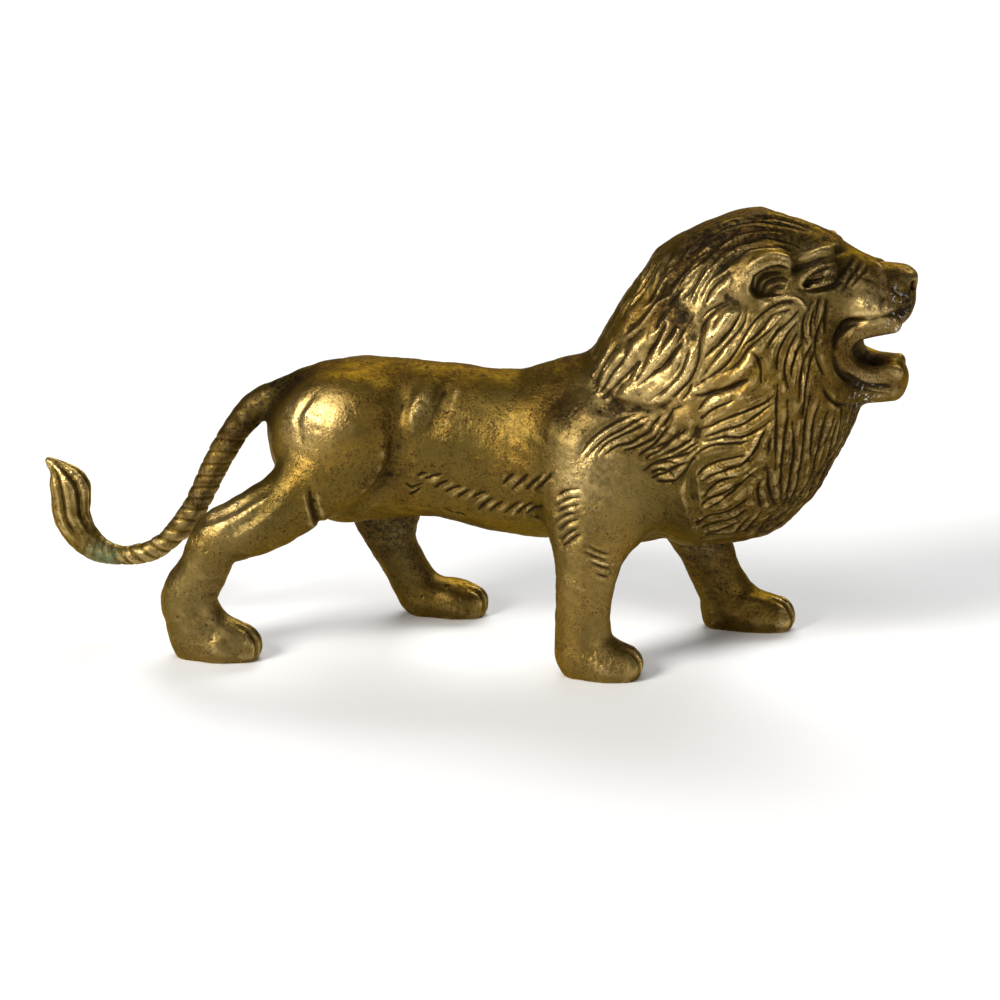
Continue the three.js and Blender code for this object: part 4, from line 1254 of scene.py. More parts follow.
@dataclass(frozen=True)
class ManeStrokes:
    """The engraved hair: deep slits between the locks, fine cuts, ridges and broad swells."""

    slits: Strokes = Strokes((Touch(0.7, 0.25), Touch(0.42, 0.5)), (
        ((22.7, 40.6), (21.9, 38.9), (21.1, 37.6), (20.7, 36.6), (19.7, 34.4)),
        ((24.0, 41.0), (23.6, 39.9), (22.7, 38.6), (22.1, 37.4)),
        ((25.0, 39.4), (24.0, 38.0), (23.0, 36.5), (21.7, 35.3), (20.0, 33.8)),
        ((18.6, 37.1), (17.9, 35.9), (16.8, 34.6), (15.4, 32.3)),
        ((25.8, 33.2), (27.4, 33.2), (29.1, 33.8), (30.7, 34.4), (32.1, 35.1)),
        ((21.4, 42.7), (22.1, 44.4), (23.1, 45.8)),
        ((22.6, 41.3), (23.4, 43.2), (24.7, 44.8)),
        ((25.4, 43.3), (26.0, 45.0), (27.0, 46.6)),
        ((21.6, 39.9), (22.1, 41.2), (23.0, 42.4)),
        ((24.0, 38.5), (24.9, 40.3), (25.8, 41.7)),
    ))
    cuts: Strokes = Strokes((Touch(0.85, 0.24), Touch(0.34, 0.46)), (
        ((22.1, 47.3), (20.8, 45.9), (19.9, 44.2), (18.8, 42.4), (17.8, 40.3)),
        ((21.3, 46.6), (20.6, 45.1), (19.8, 43.3), (18.7, 41.6)),
        ((20.3, 45.5), (19.6, 44.3), (18.6, 42.4)),
        ((22.8, 47.5), (21.9, 45.8), (21.2, 44.3), (20.4, 42.8)),
        (
            (27.0, 48.4), (25.6, 47.6), (24.0, 46.4), (23.2, 45.6),
            (21.9, 43.8), (20.2, 41.5), (18.6, 39.5),
        ),
        ((25.6, 38.6), (25.2, 37.0), (24.6, 35.5), (23.1, 33.7), (21.0, 32.1)),
        ((19.8, 36.2), (18.6, 34.9), (17.3, 33.5), (15.8, 31.7)),
        ((17.0, 37.3), (16.2, 35.8), (15.3, 34.4), (14.7, 33.3)),
        ((26.4, 40.1), (26.7, 38.3), (26.4, 36.5), (25.5, 34.6), (23.8, 32.9)),
        ((26.2, 47.1), (25.2, 46.3), (24.5, 45.4), (23.8, 43.9)),
        ((26.9, 46.8), (26.2, 45.5), (25.4, 44.2), (24.7, 43.6)),
        ((27.9, 46.7), (27.0, 45.4), (26.4, 44.3), (25.8, 43.1)),
        ((29.0, 46.9), (27.7, 45.8), (27.0, 44.7), (26.6, 43.5)),
        ((29.7, 46.5), (28.4, 45.4), (27.6, 44.4), (27.3, 43.2)),
        ((30.1, 43.7), (28.8, 43.2), (27.6, 42.5), (26.6, 41.3)),
        ((31.2, 43.8), (29.6, 43.3), (28.2, 42.4), (27.2, 41.2), (26.7, 39.3), (27.0, 37.9)),
        ((31.5, 43.2), (30.8, 41.8), (30.0, 40.5), (28.9, 39.1), (27.3, 37.5)),
        ((28.6, 41.9), (28.1, 40.5)),
        ((31.8, 42.7), (31.5, 41.2), (30.5, 39.9), (29.4, 38.6), (28.1, 36.8), (26.9, 35.1)),
        (
            (36.8, 43.5), (35.0, 43.2), (33.7, 42.4), (32.6, 41.4), (31.8, 40.2),
            (30.9, 38.5), (29.6, 36.7), (27.7, 35.2), (26.0, 33.9),
        ),
        ((36.3, 42.5), (34.7, 42.1), (33.8, 40.9), (32.9, 39.9), (31.8, 39.1), (31.0, 37.6)),
        ((35.6, 41.8), (34.5, 40.6), (33.3, 39.6), (32.0, 38.4), (31.0, 36.9), (29.3, 35.8)),
        ((37.3, 42.3), (36.4, 41.3), (35.3, 40.4), (34.4, 39.1)),
        ((37.2, 41.1), (36.3, 40.1), (35.7, 38.9), (35.3, 37.6), (35.3, 36.2)),
        ((37.4, 40.1), (36.8, 39.0), (36.3, 37.5), (36.1, 36.1), (36.5, 34.1)),
        ((38.1, 39.2), (37.4, 38.0), (37.0, 36.8), (36.8, 35.3)),
        ((38.8, 38.4), (38.2, 37.3), (37.9, 35.6), (37.8, 34.1), (37.7, 32.6)),
        ((39.4, 38.3), (38.9, 36.9), (38.6, 35.5), (38.3, 33.8), (38.3, 31.9)),
        ((38.2, 42.5), (37.9, 40.6), (38.3, 38.7)),
        ((39.0, 42.3), (38.7, 41.0), (38.7, 39.7)),
        ((32.3, 38.4), (33.1, 37.5), (33.5, 36.3), (33.5, 34.9)),
        ((30.7, 32.9), (29.3, 32.2), (28.2, 31.6), (27.1, 30.6)),
        ((35.3, 33.7), (34.0, 32.5), (32.4, 31.7), (30.7, 31.0), (28.9, 30.2), (26.9, 28.8)),
        ((35.0, 32.6), (33.6, 31.4), (32.4, 30.5), (31.1, 29.8), (29.1, 29.1), (27.3, 28.3)),
        (
            (35.4, 31.2), (34.3, 30.1), (32.9, 29.1), (31.5, 28.5),
            (29.8, 28.5), (28.3, 28.1), (26.7, 27.8),
        ),
        ((32.6, 28.3), (31.3, 27.8), (29.7, 27.7), (28.3, 27.5), (27.0, 26.8), (26.0, 25.8)),
        ((34.3, 30.0), (33.7, 28.7), (33.1, 27.3), (32.3, 26.2), (31.5, 25.3), (30.2, 24.6)),
        ((31.9, 26.5), (30.3, 26.0), (28.6, 25.4), (27.3, 24.6), (26.3, 23.4)),
        ((31.6, 25.3), (30.0, 24.6), (28.6, 24.1), (27.2, 23.2)),
        ((31.1, 23.8), (29.7, 23.4), (28.3, 22.5), (27.2, 21.0)),
        ((31.5, 23.1), (30.5, 22.3), (29.3, 21.5), (28.0, 20.9), (26.8, 19.8)),
        ((33.5, 25.1), (32.4, 24.1), (31.5, 23.0), (30.5, 21.8), (29.3, 20.8), (27.7, 19.6)),
        ((32.1, 20.9), (31.0, 19.9), (29.3, 19.1), (27.7, 18.6), (26.5, 17.6)),
        ((31.9, 19.4), (30.2, 18.2), (28.4, 17.4), (26.9, 16.8)),
        ((31.2, 18.1), (29.8, 17.0), (28.3, 16.2), (26.8, 15.3)),
        ((32.5, 18.8), (31.4, 17.4), (30.5, 16.0)),
        ((33.6, 19.2), (32.6, 17.5), (31.7, 16.3)),
        ((34.7, 18.6), (33.7, 17.0), (32.9, 15.8)),
        ((20.7, 30.9), (19.0, 30.0), (17.3, 29.3), (15.8, 28.4), (14.6, 27.3), (13.9, 26.1)),
        ((21.8, 30.5), (20.1, 29.8), (18.4, 28.7), (16.7, 27.9), (15.4, 26.8), (14.5, 25.7)),
        ((21.0, 29.7), (19.6, 28.6), (18.2, 28.0), (16.5, 27.1), (15.6, 26.0)),
        ((22.0, 29.4), (20.7, 28.1), (19.3, 27.2), (17.8, 26.9), (16.3, 25.9)),
        ((22.5, 28.8), (21.3, 27.4), (19.9, 26.7), (18.4, 26.4)),
        ((23.5, 29.6), (22.4, 28.0), (21.3, 26.6), (20.2, 25.9)),
        ((24.8, 29.2), (23.6, 27.7), (22.4, 26.4), (20.9, 25.4)),
        ((25.9, 27.9), (24.7, 27.0), (23.3, 26.1), (21.7, 25.3)),
        ((26.9, 27.5), (25.8, 26.5), (24.5, 25.8), (23.0, 25.3), (21.4, 24.5)),
        ((22.7, 30.9), (21.8, 29.7), (21.1, 28.6)),
        ((23.9, 31.5), (23.2, 30.1), (22.2, 28.7)),
        ((26.8, 26.7), (25.8, 25.3), (25.2, 24.1), (24.3, 23.1), (23.3, 21.9)),
        ((21.8, 24.5), (23.0, 25.0), (24.2, 25.0)),
        ((21.5, 23.7), (22.7, 24.0), (23.9, 23.4)),
        ((22.1, 22.8), (23.3, 22.6), (24.4, 22.9)),
        ((35.3, 34.6), (35.3, 32.6), (35.3, 30.6), (35.3, 27.7), (35.2, 24.7)),
        ((36.4, 32.8), (36.5, 30.5), (36.2, 28.3), (36.0, 25.8), (35.8, 23.3), (35.8, 20.6)),
        ((37.0, 30.2), (37.2, 28.1), (37.3, 26.5), (37.0, 24.2), (36.6, 21.9), (36.1, 19.8)),
        ((38.3, 32.7), (38.2, 30.6)),
        (
            (38.9, 33.0), (38.6, 31.3), (38.4, 29.2), (38.2, 27.0),
            (37.9, 24.3), (37.4, 21.8), (36.5, 19.7),
        ),
        ((39.9, 32.5), (39.4, 30.3), (39.1, 27.9), (39.0, 25.8)),
        ((40.8, 31.2), (40.3, 28.9), (39.8, 26.5), (39.3, 23.9), (38.7, 21.6)),
        ((41.7, 29.8), (41.3, 27.4), (40.6, 24.6), (39.7, 22.6)),
        ((34.4, 24.7), (34.5, 22.4), (35.1, 19.9)),
        ((33.5, 23.2), (33.3, 21.5), (33.6, 19.6)),
        ((34.7, 28.5), (34.4, 26.5)),
        ((42.3, 31.1), (42.1, 29.1), (41.6, 26.6)),
        ((21.8, 25.5), (24.2, 26.8), (25.8, 27.9), (26.9, 29.2), (28.6, 30.0)),
        ((23.3, 25.5), (25.1, 26.6), (26.2, 27.4), (27.0, 28.2)),
        ((20.2, 25.8), (22.4, 26.9), (24.2, 28.1), (25.4, 29.2)),
        ((20.8, 24.1), (22.4, 25.1), (24.2, 25.8), (25.6, 26.6)),
        ((21.5, 23.1), (22.8, 23.6), (24.2, 24.6), (25.8, 25.4)),
        ((24.9, 32.6), (25.5, 33.4), (25.9, 34.4)),
        ((26.7, 31.5), (27.5, 32.7), (28.6, 33.6)),
    ))
    contours: Strokes = Strokes((Touch(1.1, 0.4), Touch(0.4, 0.3)), (
        ((27.0, 25.5), (26.0, 24.5), (25.8, 22.6), (26.1, 20.8), (26.5, 18.9)),
        ((25.6, 24.9), (25.2, 23.7), (24.6, 22.9), (23.7, 22.1)),
        ((26.9, 29.8), (26.5, 28.4), (26.7, 27.3)),
    ))
    ridges: Strokes = Strokes((Touch(0.5, -0.28),), (
        ((22.9, 43.4), (21.8, 42.6), (20.7, 40.9), (19.4, 39.5), (17.7, 38.2)),
        ((26.3, 46.9), (25.1, 45.8), (24.3, 44.6)),
        ((33.7, 29.2), (32.9, 27.6), (32.2, 26.5), (31.5, 25.6)),
        ((33.7, 25.3), (32.4, 24.3), (31.5, 23.2)),
        ((33.1, 43.7), (34.7, 43.8), (36.2, 43.8), (37.3, 43.3), (38.0, 42.4)),
    ))
    lenses: Strokes = Strokes((Touch(1.5, -0.5),), (
        ((29.9, 42.4), (28.7, 40.8), (27.4, 39.2)),
        ((28.1, 46.6), (26.7, 44.8), (25.4, 43.3)),
    ))
    shoulder: Strokes = Strokes((Touch(1.9, -0.5),), (
        ((22.1, 22.1), (22.3, 20.6), (22.3, 18.8), (22.2, 16.3)),
    ))
    swells: Strokes = Strokes((Touch(1.3, -0.36),), (
        ((25.6, 38.5), (25.7, 36.9), (25.1, 35.3), (23.3, 33.6), (20.7, 31.8)),
        ((23.2, 38.5), (21.7, 36.5), (20.1, 34.2), (18.1, 32.5)),
        ((21.0, 39.7), (19.5, 37.5), (17.9, 34.8), (16.8, 32.9)),
        ((30.9, 39.5), (29.2, 37.3), (27.3, 35.2)),
        ((33.3, 39.0), (31.6, 36.7), (28.6, 34.6)),
        ((16.6, 36.6), (15.3, 34.2)),
        ((20.4, 46.0), (19.3, 43.6), (17.9, 41.0)),
        ((31.8, 33.1), (29.1, 32.6), (26.9, 31.7)),
    ))
    dips: Strokes = Strokes((Touch(1.5, 0.42),), (
        ((26.1, 48.7), (24.6, 47.0), (23.2, 44.9), (22.9, 43.1)),
        ((22.5, 43.1), (24.0, 41.5), (25.6, 40.3), (25.8, 38.6)),
        ((29.4, 43.9), (31.0, 43.4), (32.6, 43.2)),
        ((15.6, 30.8), (18.4, 30.8), (21.8, 31.0), (24.1, 31.8)),
        ((19.7, 42.5), (20.9, 43.6)),
    ))
    crown: Strokes = Strokes((Touch(0.8, 0.25), Touch(0.36, 0.38)), (
        ((26.2, 47.1), (27.8, 48.8), (29.9, 50.1), (32.6, 50.6), (35.2, 50.2)),
        ((27.3, 46.6), (28.7, 48.4), (30.7, 49.5), (33.2, 49.9), (35.6, 49.4), (37.0, 48.7)),
        ((25.0, 47.6), (26.6, 49.3), (28.9, 50.7), (31.9, 51.3), (35.0, 50.8), (37.3, 50.0)),
        ((28.2, 45.9), (29.4, 47.5), (31.2, 48.8)),
        ((23.4, 46.7), (24.8, 48.5), (26.5, 49.7)),
        ((30.7, 51.4), (33.8, 51.4), (36.6, 50.6), (38.9, 49.7)),
    ))
    strand: Touch = Touch(0.28, 0.17)
    strand_spaces: tuple[float, ...] = (0.42, -0.5)
    strand_shortest: float = 2.5
    strand_steps: int = 6

    def groups(self) -> tuple[Strokes, ...]:
        """Give the groups in the order in which they are worked."""
        return (*strokes_of(self), *[self.strands(space) for space in self.strand_spaces])

    def strands(self, space: float) -> Strokes:
        """Lay a finer strand beside every cut that is long enough.

        Args:
            space: How far beside the cut it runs.

        Returns:
            The strands.
        """
        lines = []
        for cut in self.cuts.lines:
            curve = Spline([[x, 0, z] for x, z in cut]).many(self.strand_steps)[:, [0, 2]]
            run = curve[-1] - curve[0]
            length = float(np.linalg.norm(run))
            if length < self.strand_shortest:
                continue
            across = np.array([-run[1], run[0]]) / length
            beside = curve[1:-1] + across * space
            lines.append(tuple((float(x), float(z)) for x, z in beside))
        return Strokes((self.strand,), tuple(lines))


@dataclass(frozen=True)
class FaceStrokes:
    """The lines of the ear, the brow, the eye, the nose, the cheek and the chin, and the whiskers."""

    ear_hair: Strokes = Strokes((Touch(0.34, 0.26),), (
        ((32.2, 44.9), (32.4, 46.1), (33.5, 46.9), (34.9, 47.2), (36.0, 46.9)),
        ((32.7, 44.5), (32.9, 45.5), (33.9, 46.2), (35.1, 46.3)),
        ((33.3, 44.3), (33.7, 45.2), (34.7, 45.6), (35.8, 45.6)),
        ((34.1, 44.3), (34.7, 44.8), (35.6, 44.9)),
    ))
    ear_rim: Strokes = Strokes((Touch(0.6, -0.25),), (
        ((31.7, 47.1), (32.6, 48.0), (34.2, 48.5), (35.8, 48.1), (36.6, 47.2)),
    ))
    ear_back: Strokes = Strokes((Touch(0.5, 0.3),), (
        ((30.0, 47.5), (30.9, 48.6), (32.5, 49.2), (34.4, 49.2), (35.9, 48.6)),
    ))
    brow_ridge: Strokes = Strokes((Touch(0.95, -0.45),), (
        ((36.6, 47.3), (38.0, 47.7), (39.6, 48.3), (40.9, 48.3)),
    ))
    brow_groove: Strokes = Strokes((Touch(0.8, 0.35), Touch(0.4, 0.4)), (
        ((36.3, 46.4), (37.4, 47.0), (39.0, 47.6), (40.4, 48.0), (41.7, 47.9)),
    ))
    eyelids: Strokes = Strokes((Touch(0.36, -0.22),), (
        ((37.5, 45.5), (38.3, 46.2), (39.5, 46.8), (40.8, 47.0)),
        ((37.6, 44.7), (38.9, 44.8), (40.2, 45.0), (41.1, 45.3)),
    ))
    eyeball: Strokes = Strokes((Touch(0.7, -0.4),), (
        ((38.4, 45.5), (39.3, 45.8), (40.3, 46.3)),
    ))
    eye: Strokes = Strokes((Touch(0.36, 0.3),), (
        ((38.0, 45.6), (39.0, 46.1), (40.2, 46.6)),
        ((37.2, 44.6), (38.8, 44.3), (40.4, 44.4), (41.6, 44.8)),
    ))
    nose_side: Strokes = Strokes((Touch(0.4, 0.3),), (
        ((40.8, 44.5), (41.8, 45.9), (42.8, 47.1)),
        ((41.9, 44.1), (42.8, 45.5), (43.6, 46.6)),
        ((42.6, 44.2), (43.5, 45.3), (44.3, 46.1)),
    ))
    cheek: Strokes = Strokes((Touch(0.45, 0.3),), (
        ((38.6, 43.3), (38.2, 41.4), (38.1, 39.4)),
        ((39.4, 43.4), (39.1, 41.5), (39.1, 39.9)),
        ((40.2, 43.1), (40.1, 41.4), (40.1, 39.9)),
        ((40.2, 41.9), (39.4, 40.0), (39.3, 37.6), (40.2, 35.2)),
        ((38.9, 42.6), (38.0, 40.2), (38.0, 37.0), (38.8, 34.0)),
    ))
    nose: Strokes = Strokes((Touch(1.0, -0.34),), (
        ((45.3, 46.2), (45.9, 45.8), (46.7, 44.8)),
    ))
    pad: Strokes = Strokes((Touch(2.4, -0.5),), (
        ((43.6, 41.9), (44.6, 42.1), (45.6, 42.2)),
    ))
    muzzle: Strokes = Strokes((Touch(0.5, 0.22),), (
        ((42.0, 46.6), (43.6, 45.4), (45.6, 44.6)),
        ((44.6, 46.9), (46.0, 45.9), (46.9, 44.9)),
        ((46.2, 43.2), (46.0, 42.0), (46.6, 40.9)),
    ))
    chin: Strokes = Strokes((Touch(0.4, 0.26),), (
        ((43.2, 33.2), (45.0, 32.2), (47.0, 31.9)),
        ((40.2, 33.6), (41.4, 31.9), (43.0, 31.0)),
    ))
    whiskers: tuple[float, float] = (44.3, 41.9)
    whisker_rows: int = 3
    whiskers_in_row: int = 4
    along_row: tuple[float, float] = (0.85, 0.12)
    to_next_row: tuple[float, float] = (-0.3, -0.75)
    whisker_reach: float = 0.08
    whisker: Touch = Touch(0.2, 0.1)
    cast_start: float = -12.0

    def spots(self, figure: Figure, carving: Carving) -> None:
        """Sink the roots of the whiskers in rows on the muzzle.

        Args:
            figure: The smooth figure.
            carving: The carving that takes them.
        """
        starts = []
        for row in range(self.whisker_rows):
            for n in range(self.whiskers_in_row):
                x = self.whiskers[0] + self.along_row[0] * n + self.to_next_row[0] * row
                z = self.whiskers[1] + self.to_next_row[1] * row + self.along_row[1] * n
                starts.append((x, self.cast_start, z))
        skin = figure.cast(np.array(starts), np.array(starts) * (1, 0, 1))
        half = np.array([self.whisker_reach, 0, 0])
        for point in skin:
            carving.add(np.stack([point - half, point + half]), self.whisker)


@dataclass(frozen=True)
class LegStrokes:
    """The fur behind the foreleg and on the belly, the thigh's edge and the foreleg's thin lines."""

    tufts: Strokes = Strokes((Touch(0.62, 0.14), Touch(0.32, 0.28)), (
        ((11.0, 20.8), (12.0, 21.7), (13.5, 22.1)),
        ((10.9, 19.9), (12.2, 20.8), (13.8, 21.2)),
        ((10.9, 19.0), (12.2, 19.9), (13.6, 20.3)),
        ((10.9, 18.1), (12.1, 19.0), (13.5, 19.4)),
        ((11.2, 17.1), (12.2, 18.1), (13.6, 18.7)),
        ((11.5, 16.1), (12.5, 17.1), (13.7, 17.7)),
        ((11.9, 15.5), (13.0, 16.5), (13.9, 17.1)),
    ))
    belly: Strokes = Strokes((Touch(0.8, 0.16), Touch(0.36, 0.34)), (
        ((1.5, 17.4), (2.3, 18.4), (3.3, 19.3)),
        ((2.9, 17.4), (3.7, 18.3), (4.6, 19.0)),
        ((4.6, 17.4), (5.5, 18.3), (6.5, 19.1)),
        ((6.1, 17.4), (6.9, 18.4), (7.9, 19.1)),
        ((7.3, 17.7), (8.1, 18.5), (9.1, 19.2)),
        ((1.0, 19.1), (1.8, 19.7), (2.6, 20.1)),
        ((-0.8, 18.9), (-0.1, 19.5), (0.9, 20.3)),
        ((-2.2, 19.5), (-1.2, 20.1), (-0.2, 20.6)),
        ((-3.3, 19.9), (-2.5, 20.6), (-1.7, 21.1)),
        ((-6.6, 20.5), (-5.9, 20.0), (-4.7, 20.5)),
        ((-6.2, 19.0), (-5.5, 19.4), (-4.8, 20.1)),
        ((-2.5, 17.3), (-2.0, 16.9), (-1.7, 16.6)),
        ((-1.2, 16.4), (-0.7, 16.6), (-0.3, 16.3)),
    ))
    belly_top: Strokes = Strokes((Touch(0.34, 0.24),), (
        ((4.6, 21.1), (5.2, 21.9), (5.8, 22.5)),
        ((5.6, 20.6), (6.5, 21.5), (7.4, 22.6)),
        ((7.3, 20.8), (8.0, 21.8), (9.0, 22.9)),
        ((8.2, 20.9), (9.3, 22.1), (10.4, 23.4)),
        ((-4.4, 21.1), (-3.5, 21.5), (-2.5, 21.9)),
        ((-5.2, 21.4), (-4.7, 21.8), (-4.2, 21.9)),
    ))
    thigh: Strokes = Strokes((Touch(1.7, 0.62), Touch(0.6, 0.16)), (
        (
            (-7.4, 27.8), (-7.3, 25.7), (-7.5, 23.6), (-8.2, 21.5),
            (-9.5, 19.6), (-11.3, 17.9), (-13.2, 16.4),
        ),
    ), (-1,))
    lines: Strokes = Strokes((Touch(0.3, 0.2),), (
        ((14.7, 15.9), (15.9, 15.2), (17.3, 14.7)),
        ((14.2, 15.2), (15.8, 14.5), (17.3, 13.8)),
        ((15.0, 14.0), (16.3, 13.4), (17.3, 13.0)),
        ((15.6, 12.7), (16.5, 12.3), (17.1, 12.1)),
    ), (-1,))


@dataclass
class Blemishes:
    """The pits of the casting, the knocks, and the round plug in the flank."""

    figure: Figure
    seed: int = 7
    pits: int = 420
    pit_least: float = 0.14
    pit_more: float = 0.3
    pit_depth: float = 0.32
    broad_waves: tuple[float, float] = (0.05, 0.55)
    small_waves: tuple[float, float] = (0.035, 1.4)
    waves_added: int = 6
    plug: tuple[float, float] = (-4.9, 28.8)
    plug_size: float = 0.75
    plug_seam: Touch = Touch(0.22, 0.12)
    plug_face: Touch = Touch(0.85, 0.04)
    plug_side: float = -3

    def lift(self, points: np.ndarray) -> np.ndarray:
        """Tell how far the skin is sunk or raised by blemishes.

        Args:
            points: Places on the smooth skin.

        Returns:
            The lift of each place.
        """
        rng = np.random.default_rng(self.seed)
        chosen = points[rng.integers(0, len(points), self.pits)]
        sizes = self.pit_least + self.pit_more * rng.random(self.pits) ** 3
        lift = self.broad_waves[0] * self.waves(points, self.broad_waves[1], 1)
        lift += self.small_waves[0] * self.waves(points, self.small_waves[1], 2)
        for centre, size in zip(chosen, sizes):
            near = np.flatnonzero(np.abs(points - centre).max(1) < size)
            if len(near):
                away = lengths(points[near] - centre) / size
                lift[near] -= self.pit_depth * size * np.clip(1 - away * away, 0, 1)
        x, y, z = points.T
        away = np.hypot(x - self.plug[0], z - self.plug[1]) / self.plug_size
        seen = y < self.plug_side
        seam = self.plug_seam.depth * np.exp(-(((away - 1) / self.plug_seam.wide) ** 2))
        lift -= np.where(seen, seam, 0)
        lift -= np.where(seen & (away < self.plug_face.wide), self.plug_face.depth, 0)
        return lift

    def waves(self, points: np.ndarray, rate: float, seed: int) -> np.ndarray:
        """Give a slow unevenness, as of a hand-finished pattern.

        Args:
            points: Places on the skin.
            rate: Waves in each share.
            seed: Which unevenness.

        Returns:
            Values about nought, mostly within 1.
        """
        rng = np.random.default_rng(self.seed + seed)
        total = np.zeros(len(points))
        for _ in range(self.waves_added):
            way = rng.normal(size=3)
            way *= rate * (0.6 + 0.8 * rng.random()) / np.linalg.norm(way)
            total += np.sin(points @ way * 2 + rng.random() * 6.28)
        return total / 2.4


@dataclass
class LionCasting:
    """The cast lion: its worked skin as one closed mesh."""

    name: str = "lion_cast"
    node: str = "lion"
    voxel: float = 0.0004
    voxel_quick: float = 0.0007
    most_faces: int = 196000
    merge: float = 1e-6
    fine_rounds: int = 3
    deep_rounds: int = 22
    figure: Figure = field(default_factory=Figure)

    def copy_of_solid(self) -> bpy.types.Object:
        """Copy the solid, merge its loose corners and give it even small faces.

        Returns:
            The new object.
        """
        bpy.ops.object.select_all(action="DESELECT")
        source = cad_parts[self.node]
        piece = bpy.data.objects.new(self.name, source.data.copy())
        bpy.context.scene.collection.objects.link(piece)
        piece.matrix_world = source.matrix_world.copy()
        piece.data.materials.clear()
        bpy.context.view_layer.objects.active = piece
        piece.select_set(True)
        bpy.ops.object.mode_set(mode="EDIT")
        bpy.ops.mesh.select_all(action="SELECT")
        bpy.ops.mesh.remove_doubles(threshold=self.merge)
        bpy.ops.object.mode_set(mode="OBJECT")
        remesh = piece.modifiers.new("even", "REMESH")
        remesh.mode = "VOXEL"
        remesh.voxel_size = self.voxel
        bpy.ops.object.modifier_apply(modifier=remesh.name)
        return piece

    @staticmethod
    def corners(mesh: bpy.types.Mesh) -> np.ndarray:
        """Read the corners of a mesh.

        Args:
            mesh: The mesh.

        Returns:
            The corners in metres, one row each.
        """
        values = np.empty(len(mesh.vertices) * 3, dtype=np.float32)
        mesh.vertices.foreach_get("co", values)
        return values.reshape(-1, 3)

    @staticmethod
    def mark(mesh: bpy.types.Mesh, name: str, values: np.ndarray) -> None:
        """Store a value at each corner of a mesh for the finish to read.

        Args:
            mesh: The mesh.
            name: The attribute's name.
            values: One value for each corner.
        """
        attribute = mesh.attributes.new(name, "FLOAT", "POINT")
        attribute.data.foreach_set("value", values.astype(np.float32))

    @staticmethod
    def hollows(mesh: bpy.types.Mesh, places: np.ndarray, out: np.ndarray, rounds: int) -> np.ndarray:
        """Measure how deep each corner lies below the skin about it.

        Args:
            mesh: The mesh, for its edges.
            places: The corners, in shares.
            out: The way out at each corner.
            rounds: How far about the corner the skin is averaged.

        Returns:
            The depth of each corner in shares, below nought on ridges.
        """
        edges = np.empty(len(mesh.edges) * 2, dtype=np.int32)
        mesh.edges.foreach_get("vertices", edges)
        a, b = edges.reshape(-1, 2).T
        count = len(places)
        weight = np.bincount(a, minlength=count) + np.bincount(b, minlength=count)
        smooth = places.astype(float)
        for _ in range(rounds):
            total = [
                np.bincount(a, smooth[b, axis], count) + np.bincount(b, smooth[a, axis], count)
                for axis in range(3)
            ]
            smooth = np.stack(total, 1) / weight[:, None]
        return ((smooth - places) * out).sum(1)

    def carving(self) -> Carving:
        """Lay every line that is worked into the skin.

        Returns:
            The whole carving.
        """
        carving = Carving(self.figure)
        Hair(self.figure).carve(carving)
        lines = BodyLines(self.figure)
        lines.carve(carving)
        face = FaceStrokes()
        lines.draw_all(ManeStrokes().groups() + strokes_of(face) + strokes_of(LegStrokes()))
        lines.draw_chest()
        lines.cast_waiting(carving)
        face.spots(self.figure, carving)
        log.info("carving: %d pieces of line", len(carving.rows))
        return carving

    def work_skin(self, mesh: bpy.types.Mesh) -> np.ndarray:
        """Move every corner onto the worked skin, inside the solid's box.

        Args:
            mesh: The mesh with even small faces.

        Returns:
            The corners in shares, one row each.
        """
        low, high = (np.array(corner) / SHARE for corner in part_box(self.node))
        places, out = self.figure.settle(self.corners(mesh) / SHARE, 2)
        lift = self.carving().lift(places) + Blemishes(self.figure).lift(places)
        places = np.clip(places + out * lift[:, None], low, high)
        mesh.vertices.foreach_set("co", (places * SHARE).astype(np.float32).ravel())
        mesh.update()
        return places

    def measure(self, mesh: bpy.types.Mesh, places: np.ndarray) -> dict[str, np.ndarray]:
        """Measure the fine cuts and ridges, and the deep hollows between the forms.

        Args:
            mesh: The mesh with the worked skin.
            places: Its corners, in shares.

        Returns:
            The depths of the corners by name.
        """
        normals = np.empty(len(mesh.vertices) * 3, dtype=np.float32)
        mesh.vertices.foreach_get("normal", normals)
        normals = normals.reshape(-1, 3)
        finer = 4
        return {
            "fine": self.hollows(mesh, places, normals, self.fine_rounds * finer),
            "deep": self.hollows(mesh, places, normals, self.deep_rounds * finer),
        }

    def build(self) -> bpy.types.Object:
        """Work the skin of the lion.

        Returns:
            The finished piece.
        """
        piece = self.copy_of_solid()
        log.info("even skin: %d corners", len(piece.data.vertices))
        places = self.work_skin(piece.data)
        marks = self.measure(piece.data, places)
        self.thin(piece)
        self.move_marks(piece.data, places * SHARE, marks)
        for polygon in piece.data.polygons:
            polygon.use_smooth = True
        return piece

    def thin(self, piece: bpy.types.Object) -> None:
        """Thin the mesh where the skin is smooth.

        Args:
            piece: The object.
        """
        faces = sum(len(polygon.vertices) - 2 for polygon in piece.data.polygons)
        thinner = piece.modifiers.new("thin", "DECIMATE")
        thinner.ratio = min(1.0, self.most_faces / faces)
        bpy.ops.object.modifier_apply(modifier=thinner.name)
        log.info("thinned from %d to %d triangles", faces, len(piece.data.polygons))

